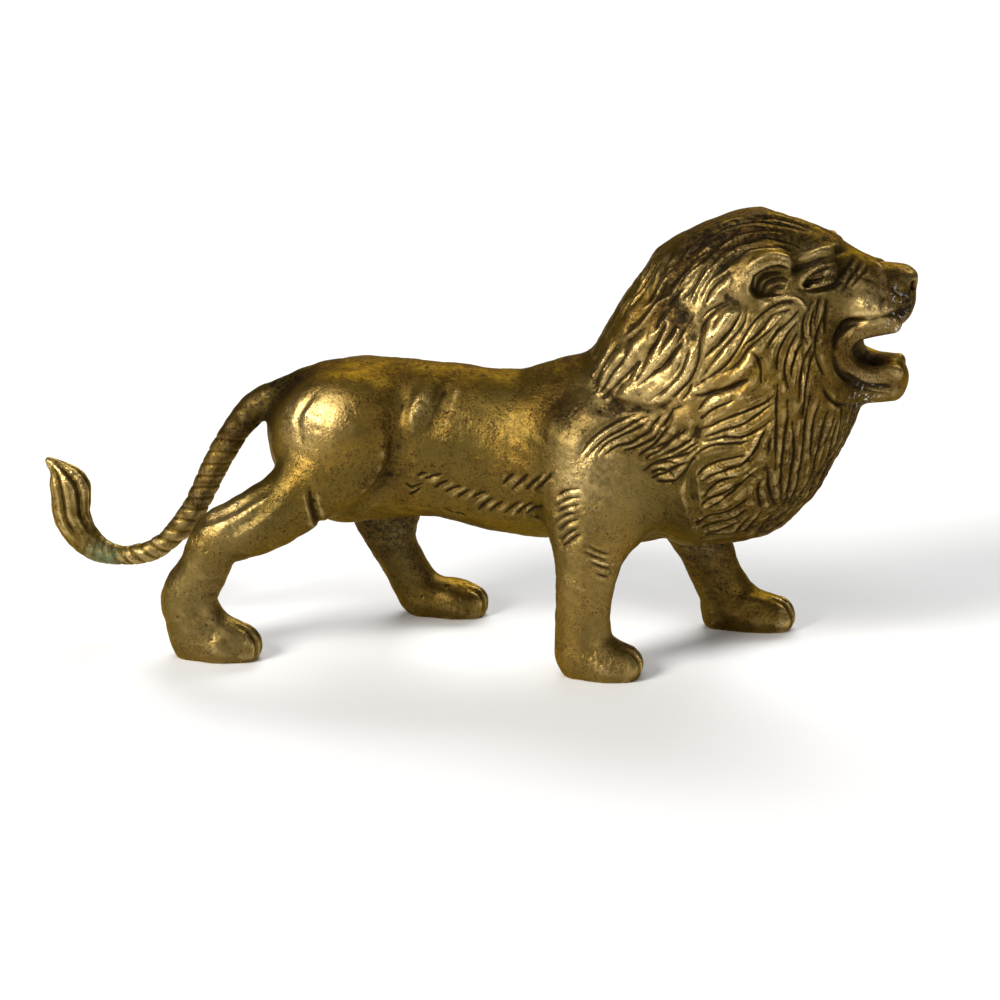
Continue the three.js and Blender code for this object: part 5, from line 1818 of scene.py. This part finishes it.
    def move_marks(
        self,
        mesh: bpy.types.Mesh,
        places: np.ndarray,
        marks: dict[str, np.ndarray],
    ) -> None:
        """Carry measured values over to the thinned mesh.

        Args:
            mesh: The thinned mesh.
            places: Where the values were measured, in metres.
            marks: The values by name.
        """
        corners = self.corners(mesh)
        tree = kdtree.KDTree(len(places))
        for n, place in enumerate(places):
            tree.insert(place, n)
        tree.balance()
        nearest = np.array([tree.find(Vector(corner))[1] for corner in corners.tolist()])
        for name, values in marks.items():
            self.mark(mesh, name, values[nearest])
        # spots of tarnish and painted shade, of polishing and painted highlight, and of stains
        for name, values in WeatheringAndPaintedLight().masks(corners / SHARE).items():
            self.mark(mesh, name, values)


@dataclass(frozen=True)
class WeatheringAndPaintedLight:
    """Where tarnish and painted shade, polishing and painted highlight, and stains lie on the figure,
    as soft spots: x, y, z, reach, strength.
    """

    # Darker spots: real tarnish and grime in places, and painted shade where little light falls: along
    # the top of the back, on the shoulder by the mane, on the far legs and inside the mouth.
    dark: Sections = (
        (-19.5, -1.5, 30.8, 3.2, 1.0),
        (-21.5, 0.0, 28.5, 4.0, 0.9),
        (-26.5, 0.0, 24.5, 5.0, 0.6),
        (-31.5, 0.0, 16.0, 5.0, 0.45),
        (27.0, -4.0, 48.8, 4.0, 0.9),
        (32.0, -3.0, 51.0, 4.5, 1.0),
        (36.5, -3.0, 49.8, 3.0, 0.7),
        (29.0, -7.0, 47.0, 2.2, 0.7),
        (24.3, -9.0, 41.5, 2.4, 0.7),
        (34.2, -7.0, 46.0, 1.8, 0.5),
        (38.6, -5.0, 46.8, 2.0, 0.5),
        (48.6, -2.4, 42.2, 2.4, 1.0),
        (48.5, 0.0, 45.0, 1.8, 0.5),
        (46.0, 0.0, 37.5, 3.6, 1.0),
        (43.5, -3.0, 37.0, 2.0, 0.8),
        (42.5, -2.0, 30.6, 2.6, 0.9),
        (41.0, -2.0, 26.5, 3.6, 0.8),
        (38.8, -3.0, 21.5, 3.6, 0.8),
        (34.5, -3.0, 16.8, 3.6, 0.7),
        (17.5, -8.5, 30.8, 2.2, 0.6),
        (11.5, -6.0, 29.0, 3.0, 0.5),
        (26.5, 8.0, 12.0, 6.0, 0.8),
        (-10.5, 8.0, 12.5, 6.5, 0.9),
        (24.0, 5.0, 16.0, 5.0, 1.0),
        (-12.0, 5.0, 17.5, 5.0, 1.0),
        (29.5, 8.5, 3.0, 4.0, 0.4),
        (-16.2, -8.0, 16.8, 1.4, 0.7),
        (26.0, 0.0, 47.0, 7.0, 0.6),
        (22.5, -8.0, 44.5, 3.6, 0.7),
        (-4.9, -8.6, 28.8, 0.9, 1.0),
        (-14.0, 0.0, 36.0, 5.0, 0.7),
        (-6.0, 0.0, 35.4, 5.0, 0.7),
        (2.0, 0.0, 34.6, 5.0, 0.7),
        (10.0, 0.0, 34.4, 5.0, 0.7),
        (17.0, 0.0, 34.5, 4.0, 0.5),
        (-1.8, -8.0, 30.6, 1.2, 0.6),
        (-7.6, -8.0, 25.0, 1.6, 0.4),
        (-8.6, -8.5, 21.0, 1.8, 0.5),
        (37.5, -6.0, 28.0, 5.0, 0.6),
        (36.0, -8.0, 19.5, 5.0, 0.5),
        (38.0, -5.0, 35.0, 4.0, 0.5),
        (30.0, -9.0, 15.5, 5.0, 0.5),
        (22.5, -9.5, 26.5, 2.4, 0.4),
        (46.0, -2.0, 45.6, 2.6, 0.7),
        (39.5, -1.0, 49.2, 3.0, 0.8),
        (40.5, -5.0, 45.2, 2.0, 0.6),
        (40.2, -5.5, 40.5, 3.0, 0.5),
        (42.0, -4.0, 34.0, 3.0, 0.6),
        (47.0, -3.0, 32.2, 2.4, 0.4),
        (12.3, -8.0, 29.0, 3.6, 0.6),
        (41.5, -3.5, 45.5, 2.6, 0.5),
        (-8.0, -7.0, 20.5, 2.4, 0.4),
        (-8.2, -8.0, 28.0, 2.0, 0.4),
        (-2.6, -7.5, 29.4, 1.6, 0.5),
        (16.0, -9.0, 12.8, 1.6, 0.4),
    )
    # Brighter spots: polishing by handling on the muzzle, brow, mane and paws, and painted highlights
    # where the key lamp and the pale floor light the sides that face the camera, on the thigh, flank,
    # mane and legs.
    rubbed: Sections = (
        (-17.8, -7.5, 27.5, 3.0, 0.9),
        (-15.0, -9.0, 29.0, 2.2, 0.6),
        (-4.8, -8.0, 30.5, 1.8, 0.8),
        (-2.0, -7.5, 31.0, 1.4, 0.6),
        (-26.0, -11.0, 17.0, 2.6, 0.6),
        (20.5, -10.0, 34.8, 4.0, 0.8),
        (16.0, -9.0, 33.0, 3.0, 0.7),
        (24.5, -10.5, 36.5, 3.2, 0.6),
        (16.5, -11.0, 21.5, 5.0, 0.25),
        (14.5, -10.0, 11.0, 5.0, 0.25),
        (17.5, -10.0, 2.8, 4.0, 0.4),
        (-30.5, -10.0, 9.0, 5.0, 0.25),
        (-27.0, -10.0, 2.8, 4.0, 0.4),
        (28.7, -9.5, 40.8, 2.4, 1.0),
        (26.6, -9.0, 44.6, 2.4, 0.9),
        (31.0, -9.5, 45.5, 1.8, 0.7),
        (36.0, -8.5, 42.6, 2.2, 0.5),
        (44.6, -4.6, 42.4, 2.4, 1.0),
        (38.4, -4.6, 48.0, 1.2, 0.9),
        (31.0, -7.0, 49.0, 1.0, 0.6),
        (49.0, -1.0, 46.0, 1.2, 0.7),
        (46.0, -3.0, 33.5, 2.0, 0.5),
        (14.5, -10.5, 25.6, 3.0, 0.7),
        (13.5, -11.0, 22.5, 2.4, 0.6),
        (29.0, -10.5, 31.0, 4.0, 0.2),
        (-9.5, 6.5, 12.0, 2.4, 0.6),
        (-5.0, 6.5, 7.0, 2.4, 0.7),
        (26.0, 6.5, 11.0, 2.0, 0.6),
        (-27.0, -7.0, 3.2, 1.6, 0.5),
        (25.0, -6.0, 3.0, 1.4, 0.5),
    )
    green: Sections = ((-42.5, -1.0, 8.0, 1.6, 1.0), (-43.8, -1.4, 8.8, 1.1, 0.8))
    pale: Sections = (
        (47.6, -3.0, 39.6, 1.5, 1.0),
        (44.5, -3.4, 31.3, 1.7, 0.9),
        (47.3, -3.0, 42.6, 1.6, 0.5),
    )

    def masks(self, places: np.ndarray) -> dict[str, np.ndarray]:
        """Give each kind of weathering and painted light at each place.

        Args:
            places: Places in shares.

        Returns:
            Values from 0 to 1 by name.
        """
        found = {}
        for name in ("dark", "rubbed", "green", "pale"):
            total = np.zeros(len(places))
            for x, y, z, reach, strength in getattr(self, name):
                away = lengths(places - (x, y, z)) / reach
                total = 1 - (1 - total) * (1 - strength * np.exp(-away * away))
            found[name] = total
        return found


class Nodes:
    """A node tree under construction."""

    def __init__(self, tree: bpy.types.NodeTree) -> None:
        """Keep the tree and empty it.

        Args:
            tree: The tree.
        """
        self.tree = tree
        tree.nodes.clear()

    def add(self, kind: str, values: dict | None = None, **settings: object) -> bpy.types.Node:
        """Add a node.

        Args:
            kind: The node's type.
            values: Values or links of its inputs, by name or number.
            **settings: Its other settings.

        Returns:
            The node.
        """
        node = self.tree.nodes.new(kind)
        for name, value in settings.items():
            setattr(node, name, value)
        for key, value in (values or {}).items():
            socket = node.inputs[key]
            if isinstance(value, bpy.types.NodeSocket):
                self.tree.links.new(value, socket)
            else:
                socket.default_value = value
        return node

    def math(
        self,
        operation: str,
        a: object,
        b: object = 0.0,
        clamp: bool = False,
    ) -> bpy.types.NodeSocket:
        """Work out a value from two others.

        Args:
            operation: The operation.
            a: The first value or link.
            b: The second value or link.
            clamp: Whether the result is held between 0 and 1.

        Returns:
            The result.
        """
        node = self.add("ShaderNodeMath", {0: a, 1: b}, operation=operation, use_clamp=clamp)
        return node.outputs[0]

    def ease(
        self,
        value: object,
        low: float,
        high: float,
        out: tuple[float, float] = (0.0, 1.0),
    ) -> bpy.types.NodeSocket:
        """Ease a value from one range to another.

        Args:
            value: The value or link.
            low: The start of its range.
            high: The end of its range.
            out: The range of the result.

        Returns:
            The result.
        """
        source = {"Value": value, "From Min": low, "From Max": high}
        result = {"To Min": out[0], "To Max": out[1]}
        node = self.add("ShaderNodeMapRange", source | result, interpolation_type="SMOOTHSTEP")
        return node.outputs[0]

    def mix(self, share: object, a: object, b: object) -> bpy.types.NodeSocket:
        """Mix two colours.

        Args:
            share: How much of the second there is.
            a: The first colour or link.
            b: The second colour or link.

        Returns:
            The mixed colour.
        """
        factor, first, second, result = 0, 6, 7, 2  # where a mix node has its colour sockets
        node = self.add("ShaderNodeMix", {factor: share, first: a, second: b}, data_type="RGBA")
        return node.outputs[result]

    def scaled(self, value: object, share: float) -> bpy.types.NodeSocket:
        """Give a share of a value."""
        return self.math("MULTIPLY", value, share)

    def noise(
        self,
        place: object,
        scale: float,
        detail: float = 3.0,
        rough: float = 0.55,
    ) -> bpy.types.NodeSocket:
        """Add a noise.

        Args:
            place: The coordinates.
            scale: Its scale.
            detail: Its octaves.
            rough: How strong the finer octaves are.

        Returns:
            Its value, from 0 to 1.
        """
        values = {"Vector": place, "Scale": scale, "Detail": detail, "Roughness": rough}
        return self.add("ShaderNodeTexNoise", values).outputs["Fac"]

    def attribute(self, name: str) -> bpy.types.NodeSocket:
        """Read a value that is stored on the mesh."""
        return self.add("ShaderNodeAttribute", attribute_name=name).outputs["Fac"]


def colour(red: float, green: float, blue: float) -> Colour:
    """Make a solid colour of three linear parts."""
    return (red, green, blue, 1.0)


@dataclass(frozen=True)
class Marks:
    """The noises from broad to fine, and the values stored on the mesh, that the finish reads."""

    place: bpy.types.NodeSocket
    large: bpy.types.NodeSocket
    middle: bpy.types.NodeSocket
    mottle: bpy.types.NodeSocket
    small: bpy.types.NodeSocket
    grain: bpy.types.NodeSocket
    fine: bpy.types.NodeSocket
    deep: bpy.types.NodeSocket
    dark: bpy.types.NodeSocket
    rubbed: bpy.types.NodeSocket
    green: bpy.types.NodeSocket
    pale: bpy.types.NodeSocket

    @classmethod
    def read(cls, n: Nodes) -> "Marks":
        """Add the noises and read the stored values.

        Args:
            n: The node tree.

        Returns:
            The noises and marks.
        """
        place = n.add("ShaderNodeTexCoord").outputs["Object"]
        return cls(
            place=place,
            large=n.noise(place, 42.0, 4.0, 0.6),
            middle=n.noise(place, 170.0, 5.0, 0.65),
            mottle=n.noise(place, 420.0, 5.0, 0.7),
            small=n.noise(place, 750.0, 4.0, 0.65),
            grain=n.noise(place, 1500.0, 4.0, 0.7),
            fine=n.attribute("fine"),
            deep=n.attribute("deep"),
            dark=n.attribute("dark"),
            rubbed=n.attribute("rubbed"),
            green=n.attribute("green"),
            pale=n.attribute("pale"),
        )


@dataclass(frozen=True)
class AgedBrass:
    """Cast brass, polished bright on its high places and darkened with tarnish in its hollows, with
    painted highlights and painted shade at chosen spots.
    """

    name: str = "aged_brass"
    bright: Colour = colour(0.58, 0.415, 0.165)
    warm: Colour = colour(0.190, 0.114, 0.020)
    olive: Colour = colour(0.112, 0.075, 0.017)
    umber: Colour = colour(0.070, 0.030, 0.007)
    patina_and_shade_tone: Colour = colour(0.018, 0.011, 0.004)
    # near black, laid as specks where the darker spots lie, partly painted shade
    soot_and_shade_tone: Colour = colour(0.010, 0.008, 0.006)
    verdigris: Colour = colour(0.10, 0.19, 0.11)
    chalk: Colour = colour(0.60, 0.60, 0.55)
    edge: Colour = colour(0.72, 0.58, 0.36)

    def build(self) -> bpy.types.Material:
        """Make the finish.

        Returns:
            The material.
        """
        material = bpy.data.materials.new(self.name)
        material.use_nodes = True
        n = Nodes(material.node_tree)
        marks = Marks.read(n)
        wear_and_highlight, cloud = self.wear_and_highlight(n, marks), self.cloud(n, marks)
        age = self.age(n, marks, cloud)
        film = n.ease(marks.small, 0.38, 0.56, (0.0, 0.6))
        green = n.math("MULTIPLY", marks.green, film, clamp=True)
        crumbs = n.ease(n.noise(marks.place, 800.0, 3.0), 0.58, 0.62)
        chalk = n.math("MULTIPLY", marks.pale, crumbs, clamp=True)
        stains = n.math("ADD", green, chalk)

        # bright brass where ridges are worn, and painted highlights at the brighter spots
        base = n.mix(wear_and_highlight, self.brown(n, marks), self.bright)
        # the clouds lay umber, and the tarnish layer its near-black tone; both carry painted shade
        # from the darker spots
        base = n.mix(n.math("MULTIPLY", cloud, n.ease(marks.large, 0.35, 0.6)), base, self.umber)
        base = n.mix(n.scaled(age, 0.94), base, self.patina_and_shade_tone)
        # near-black specks where the darker spots lie: grime, and painted shade
        soot_and_shade_specks = n.math("MULTIPLY", marks.dark, n.ease(marks.small, 0.44, 0.56))
        base = n.mix(n.math("MULTIPLY", soot_and_shade_specks, n.ease(marks.dark, 0.3, 0.8)), base, self.soot_and_shade_tone)
        base = n.mix(green, base, self.verdigris)
        base = n.mix(chalk, base, self.chalk)

        metal = n.math("SUBTRACT", 1.0, n.scaled(age, 0.2))
        metal = n.math("SUBTRACT", metal, stains, clamp=True)
        rough = n.ease(marks.small, 0.3, 0.7, (0.36, 0.50))
        rough = n.math("SUBTRACT", rough, n.scaled(wear_and_highlight, 0.17))
        rough = n.math("ADD", rough, n.scaled(age, 0.1))
        rough = n.math("ADD", rough, n.scaled(stains, 0.3), clamp=True)
        values = {
            "Base Color": base,
            "Metallic": metal,
            "Roughness": rough,
            "Specular IOR Level": 0.3,
            "Specular Tint": self.edge,
            "Normal": self.pitted(n, marks),
        }
        shader = n.add("ShaderNodeBsdfPrincipled", values)
        output = n.add("ShaderNodeOutputMaterial")
        n.tree.links.new(shader.outputs[0], output.inputs[0])
        return material

    def brown(self, n: Nodes, marks: Marks) -> bpy.types.NodeSocket:
        """Give the mottled brown of brass that nothing has rubbed.

        Args:
            n: The node tree.
            marks: The noises and marks.

        Returns:
            The colour.
        """
        base = n.mix(n.ease(marks.large, 0.38, 0.62), self.olive, self.warm)
        base = n.mix(n.scaled(n.ease(marks.middle, 0.52, 0.68), 0.45), base, self.umber)
        base = n.mix(n.scaled(n.ease(marks.mottle, 0.47, 0.60), 0.5), base, self.olive)
        return n.mix(n.scaled(n.ease(marks.small, 0.54, 0.66), 0.45), base, self.umber)

    @staticmethod
    def wear_and_highlight(n: Nodes, marks: Marks) -> bpy.types.NodeSocket:
        """Give how bright the brass is: worn on ridges, and at the brighter spots both polished by
        handling and painted with highlights.

        Args:
            n: The node tree.
            marks: The noises and marks.

        Returns:
            A value from 0 to 1.
        """
        ridge = n.ease(marks.fine, -0.025, -0.10)
        wear_and_highlight = n.math("MULTIPLY", ridge, n.ease(marks.middle, 0.35, 0.6, (0.35, 0.8)))
        # painted highlights together with polishing by handling, read from the brighter spots on the
        # mesh
        rubbing_and_highlight = n.math("MULTIPLY", marks.rubbed, n.ease(marks.small, 0.36, 0.58, (0.45, 0.95)))
        return n.math("ADD", wear_and_highlight, rubbing_and_highlight, clamp=True)

    @staticmethod
    def cloud(n: Nodes, marks: Marks) -> bpy.types.NodeSocket:
        """Give the darker clouds of tarnish and painted shade.

        Args:
            n: The node tree.
            marks: The noises and marks.

        Returns:
            A value from 0 to 1.
        """
        return n.math("MULTIPLY", marks.dark, n.ease(marks.middle, 0.30, 0.60, (0.35, 1.0)))

    @staticmethod
    def age(n: Nodes, marks: Marks, cloud: bpy.types.NodeSocket) -> bpy.types.NodeSocket:
        """Give how thick the tarnish lies: in cuts, in hollows, in clouds and as specks, where the
        clouds also hold painted shade.

        Args:
            n: The node tree.
            marks: The noises and marks.
            cloud: The darker clouds of tarnish and painted shade.

        Returns:
            A value from 0 to 1.
        """
        uneven = n.scaled(n.math("SUBTRACT", marks.middle, 0.5), 0.05)
        sunk = n.ease(n.math("ADD", marks.fine, uneven), 0.018, 0.085)
        uneven = n.scaled(n.math("SUBTRACT", marks.large, 0.5), 0.2)
        low = n.ease(n.math("ADD", marks.deep, uneven), 0.02, 0.36)
        thin = n.ease(marks.middle, 0.38, 0.58, (0.35, 1.0))
        specks = n.math("MULTIPLY", n.ease(marks.grain, 0.50, 0.64), thin)
        age = n.math("ADD", n.scaled(sunk, 0.92), n.scaled(low, 0.55))
        spread = n.math("ADD", n.scaled(cloud, 0.75), n.scaled(specks, 0.78))
        return n.math("ADD", age, spread, clamp=True)

    @staticmethod
    def pitted(n: Nodes, marks: Marks) -> bpy.types.NodeSocket:
        """Give the small pits and the grain of the casting.

        Args:
            n: The node tree.
            marks: The noises and marks.

        Returns:
            The normal.
        """
        cells = n.add("ShaderNodeTexVoronoi", {"Vector": marks.place, "Scale": 950.0})
        pits = n.ease(cells.outputs["Distance"], 0.0, 0.22)
        height = n.math("MULTIPLY", pits, n.ease(marks.middle, 0.62, 0.52, (0.4, 0.0)))
        height = n.math("ADD", height, n.scaled(marks.small, 0.55))
        height = n.math("ADD", height, n.scaled(marks.grain, 0.22))
        bump = n.add("ShaderNodeBump", {"Height": height, "Strength": 0.75, "Distance": 0.0003})
        return bump.outputs[0]


@dataclass(frozen=True)
class PaleFloor:
    """The plain pale floor."""

    name: str = "pale_floor"
    shade: Colour = colour(0.90, 0.90, 0.895)
    size: float = 8.0

    def build(self) -> bpy.types.Object:
        """Lay the floor.

        Returns:
            The floor.
        """
        bpy.ops.object.select_all(action="DESELECT")
        bpy.ops.mesh.primitive_plane_add(size=self.size)
        floor = bpy.context.active_object
        floor.name = self.name
        material = bpy.data.materials.new(self.name)
        material.use_nodes = True
        n = Nodes(material.node_tree)
        place = n.add("ShaderNodeTexCoord").outputs["Object"]
        rough = n.ease(n.noise(place, 12.0), 0.3, 0.7, (0.62, 0.7))
        shader = n.add("ShaderNodeBsdfPrincipled", {"Base Color": self.shade, "Roughness": rough})
        output = n.add("ShaderNodeOutputMaterial")
        n.tree.links.new(shader.outputs[0], output.inputs[0])
        floor.data.materials.append(material)
        return floor


@dataclass(frozen=True)
class Softbox:
    """A soft lamp: where it stands, what it faces, its size, power and warmth."""

    name: str
    place: tuple[float, float, float]
    target: tuple[float, float, float]
    size: tuple[float, float]
    power: float
    tint: tuple[float, float, float] = (1.0, 1.0, 1.0)

    def build(self) -> bpy.types.Object:
        """Set up the lamp.

        Returns:
            The lamp.
        """
        data = bpy.data.lights.new(self.name, "AREA")
        data.shape = "RECTANGLE"
        data.size, data.size_y = self.size
        data.energy = self.power
        data.color = self.tint
        lamp = bpy.data.objects.new(self.name, data)
        bpy.context.scene.collection.objects.link(lamp)
        lamp.location = self.place
        way = Vector(self.target) - Vector(self.place)
        lamp.rotation_euler = way.to_track_quat("-Z", "Y").to_euler()
        return lamp


@dataclass
class Studio:
    """The camera, the lamps and the dim room about them."""

    camera_place: tuple[float, float, float] = (0.17604, -1.12542, 0.37965)
    camera_target: tuple[float, float, float] = (0.00597, 0.01252, 0.03883)
    lens: float = 150.4
    room: Colour = colour(0.80, 0.81, 0.83)
    room_strength: float = 0.22
    lamps: tuple[Softbox, ...] = (
        Softbox(
            name="lamp_key",
            place=(-0.95, -1.15, 0.95),
            target=(0.0, 0.0, 0.06),
            size=(0.6, 0.6),
            power=33.0,
            tint=(1.0, 0.98, 0.94),
        ),
        Softbox(
            name="lamp_fill",
            place=(1.1, -1.0, 0.5),
            target=(0.03, 0.0, 0.06),
            size=(0.35, 0.8),
            power=4.5,
            tint=(1.0, 0.98, 0.95),
        ),
        Softbox(
            name="lamp_over",
            place=(-0.05, -0.5, 1.2),
            target=(0.0, 0.0, 0.05),
            size=(0.7, 0.3),
            power=2.0,
        ),
        Softbox(
            name="lamp_floor",
            place=(0.3, 2.2, 1.9),
            target=(0.25, 1.3, 0.0),
            size=(2.6, 1.4),
            power=66.0,
        ),
    )

    def build(self) -> None:
        """Place the camera and the lamps."""
        data = bpy.data.cameras.new("camera")
        data.lens = self.lens
        data.sensor_width = 36.0
        data.clip_start = 0.01
        data.clip_end = 30.0
        camera = bpy.data.objects.new("camera", data)
        bpy.context.scene.collection.objects.link(camera)
        camera.location = self.camera_place
        way = Vector(self.camera_target) - Vector(self.camera_place)
        camera.rotation_euler = way.to_track_quat("-Z", "Y").to_euler()
        bpy.context.scene.camera = camera
        for lamp in self.lamps:
            lamp.build()
        world = bpy.data.worlds.new("room")
        bpy.context.scene.world = world
        world.use_nodes = True
        background = world.node_tree.nodes["Background"]
        background.inputs["Color"].default_value = self.room
        background.inputs["Strength"].default_value = self.room_strength
        bpy.context.scene.view_settings.view_transform = "Standard"


def main() -> None:
    """Build the lion, the floor and the studio, and note the sizes."""
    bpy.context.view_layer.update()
    Studio().build()
    PaleFloor().build()
    casting = LionCasting()
    piece = casting.build()
    piece.data.materials.append(AgedBrass().build())
    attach(piece, "root")
    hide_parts(casting.node)
    log.info("%s: %d faces", piece.name, len(piece.data.polygons))


if __name__ == "__main__":
    main()
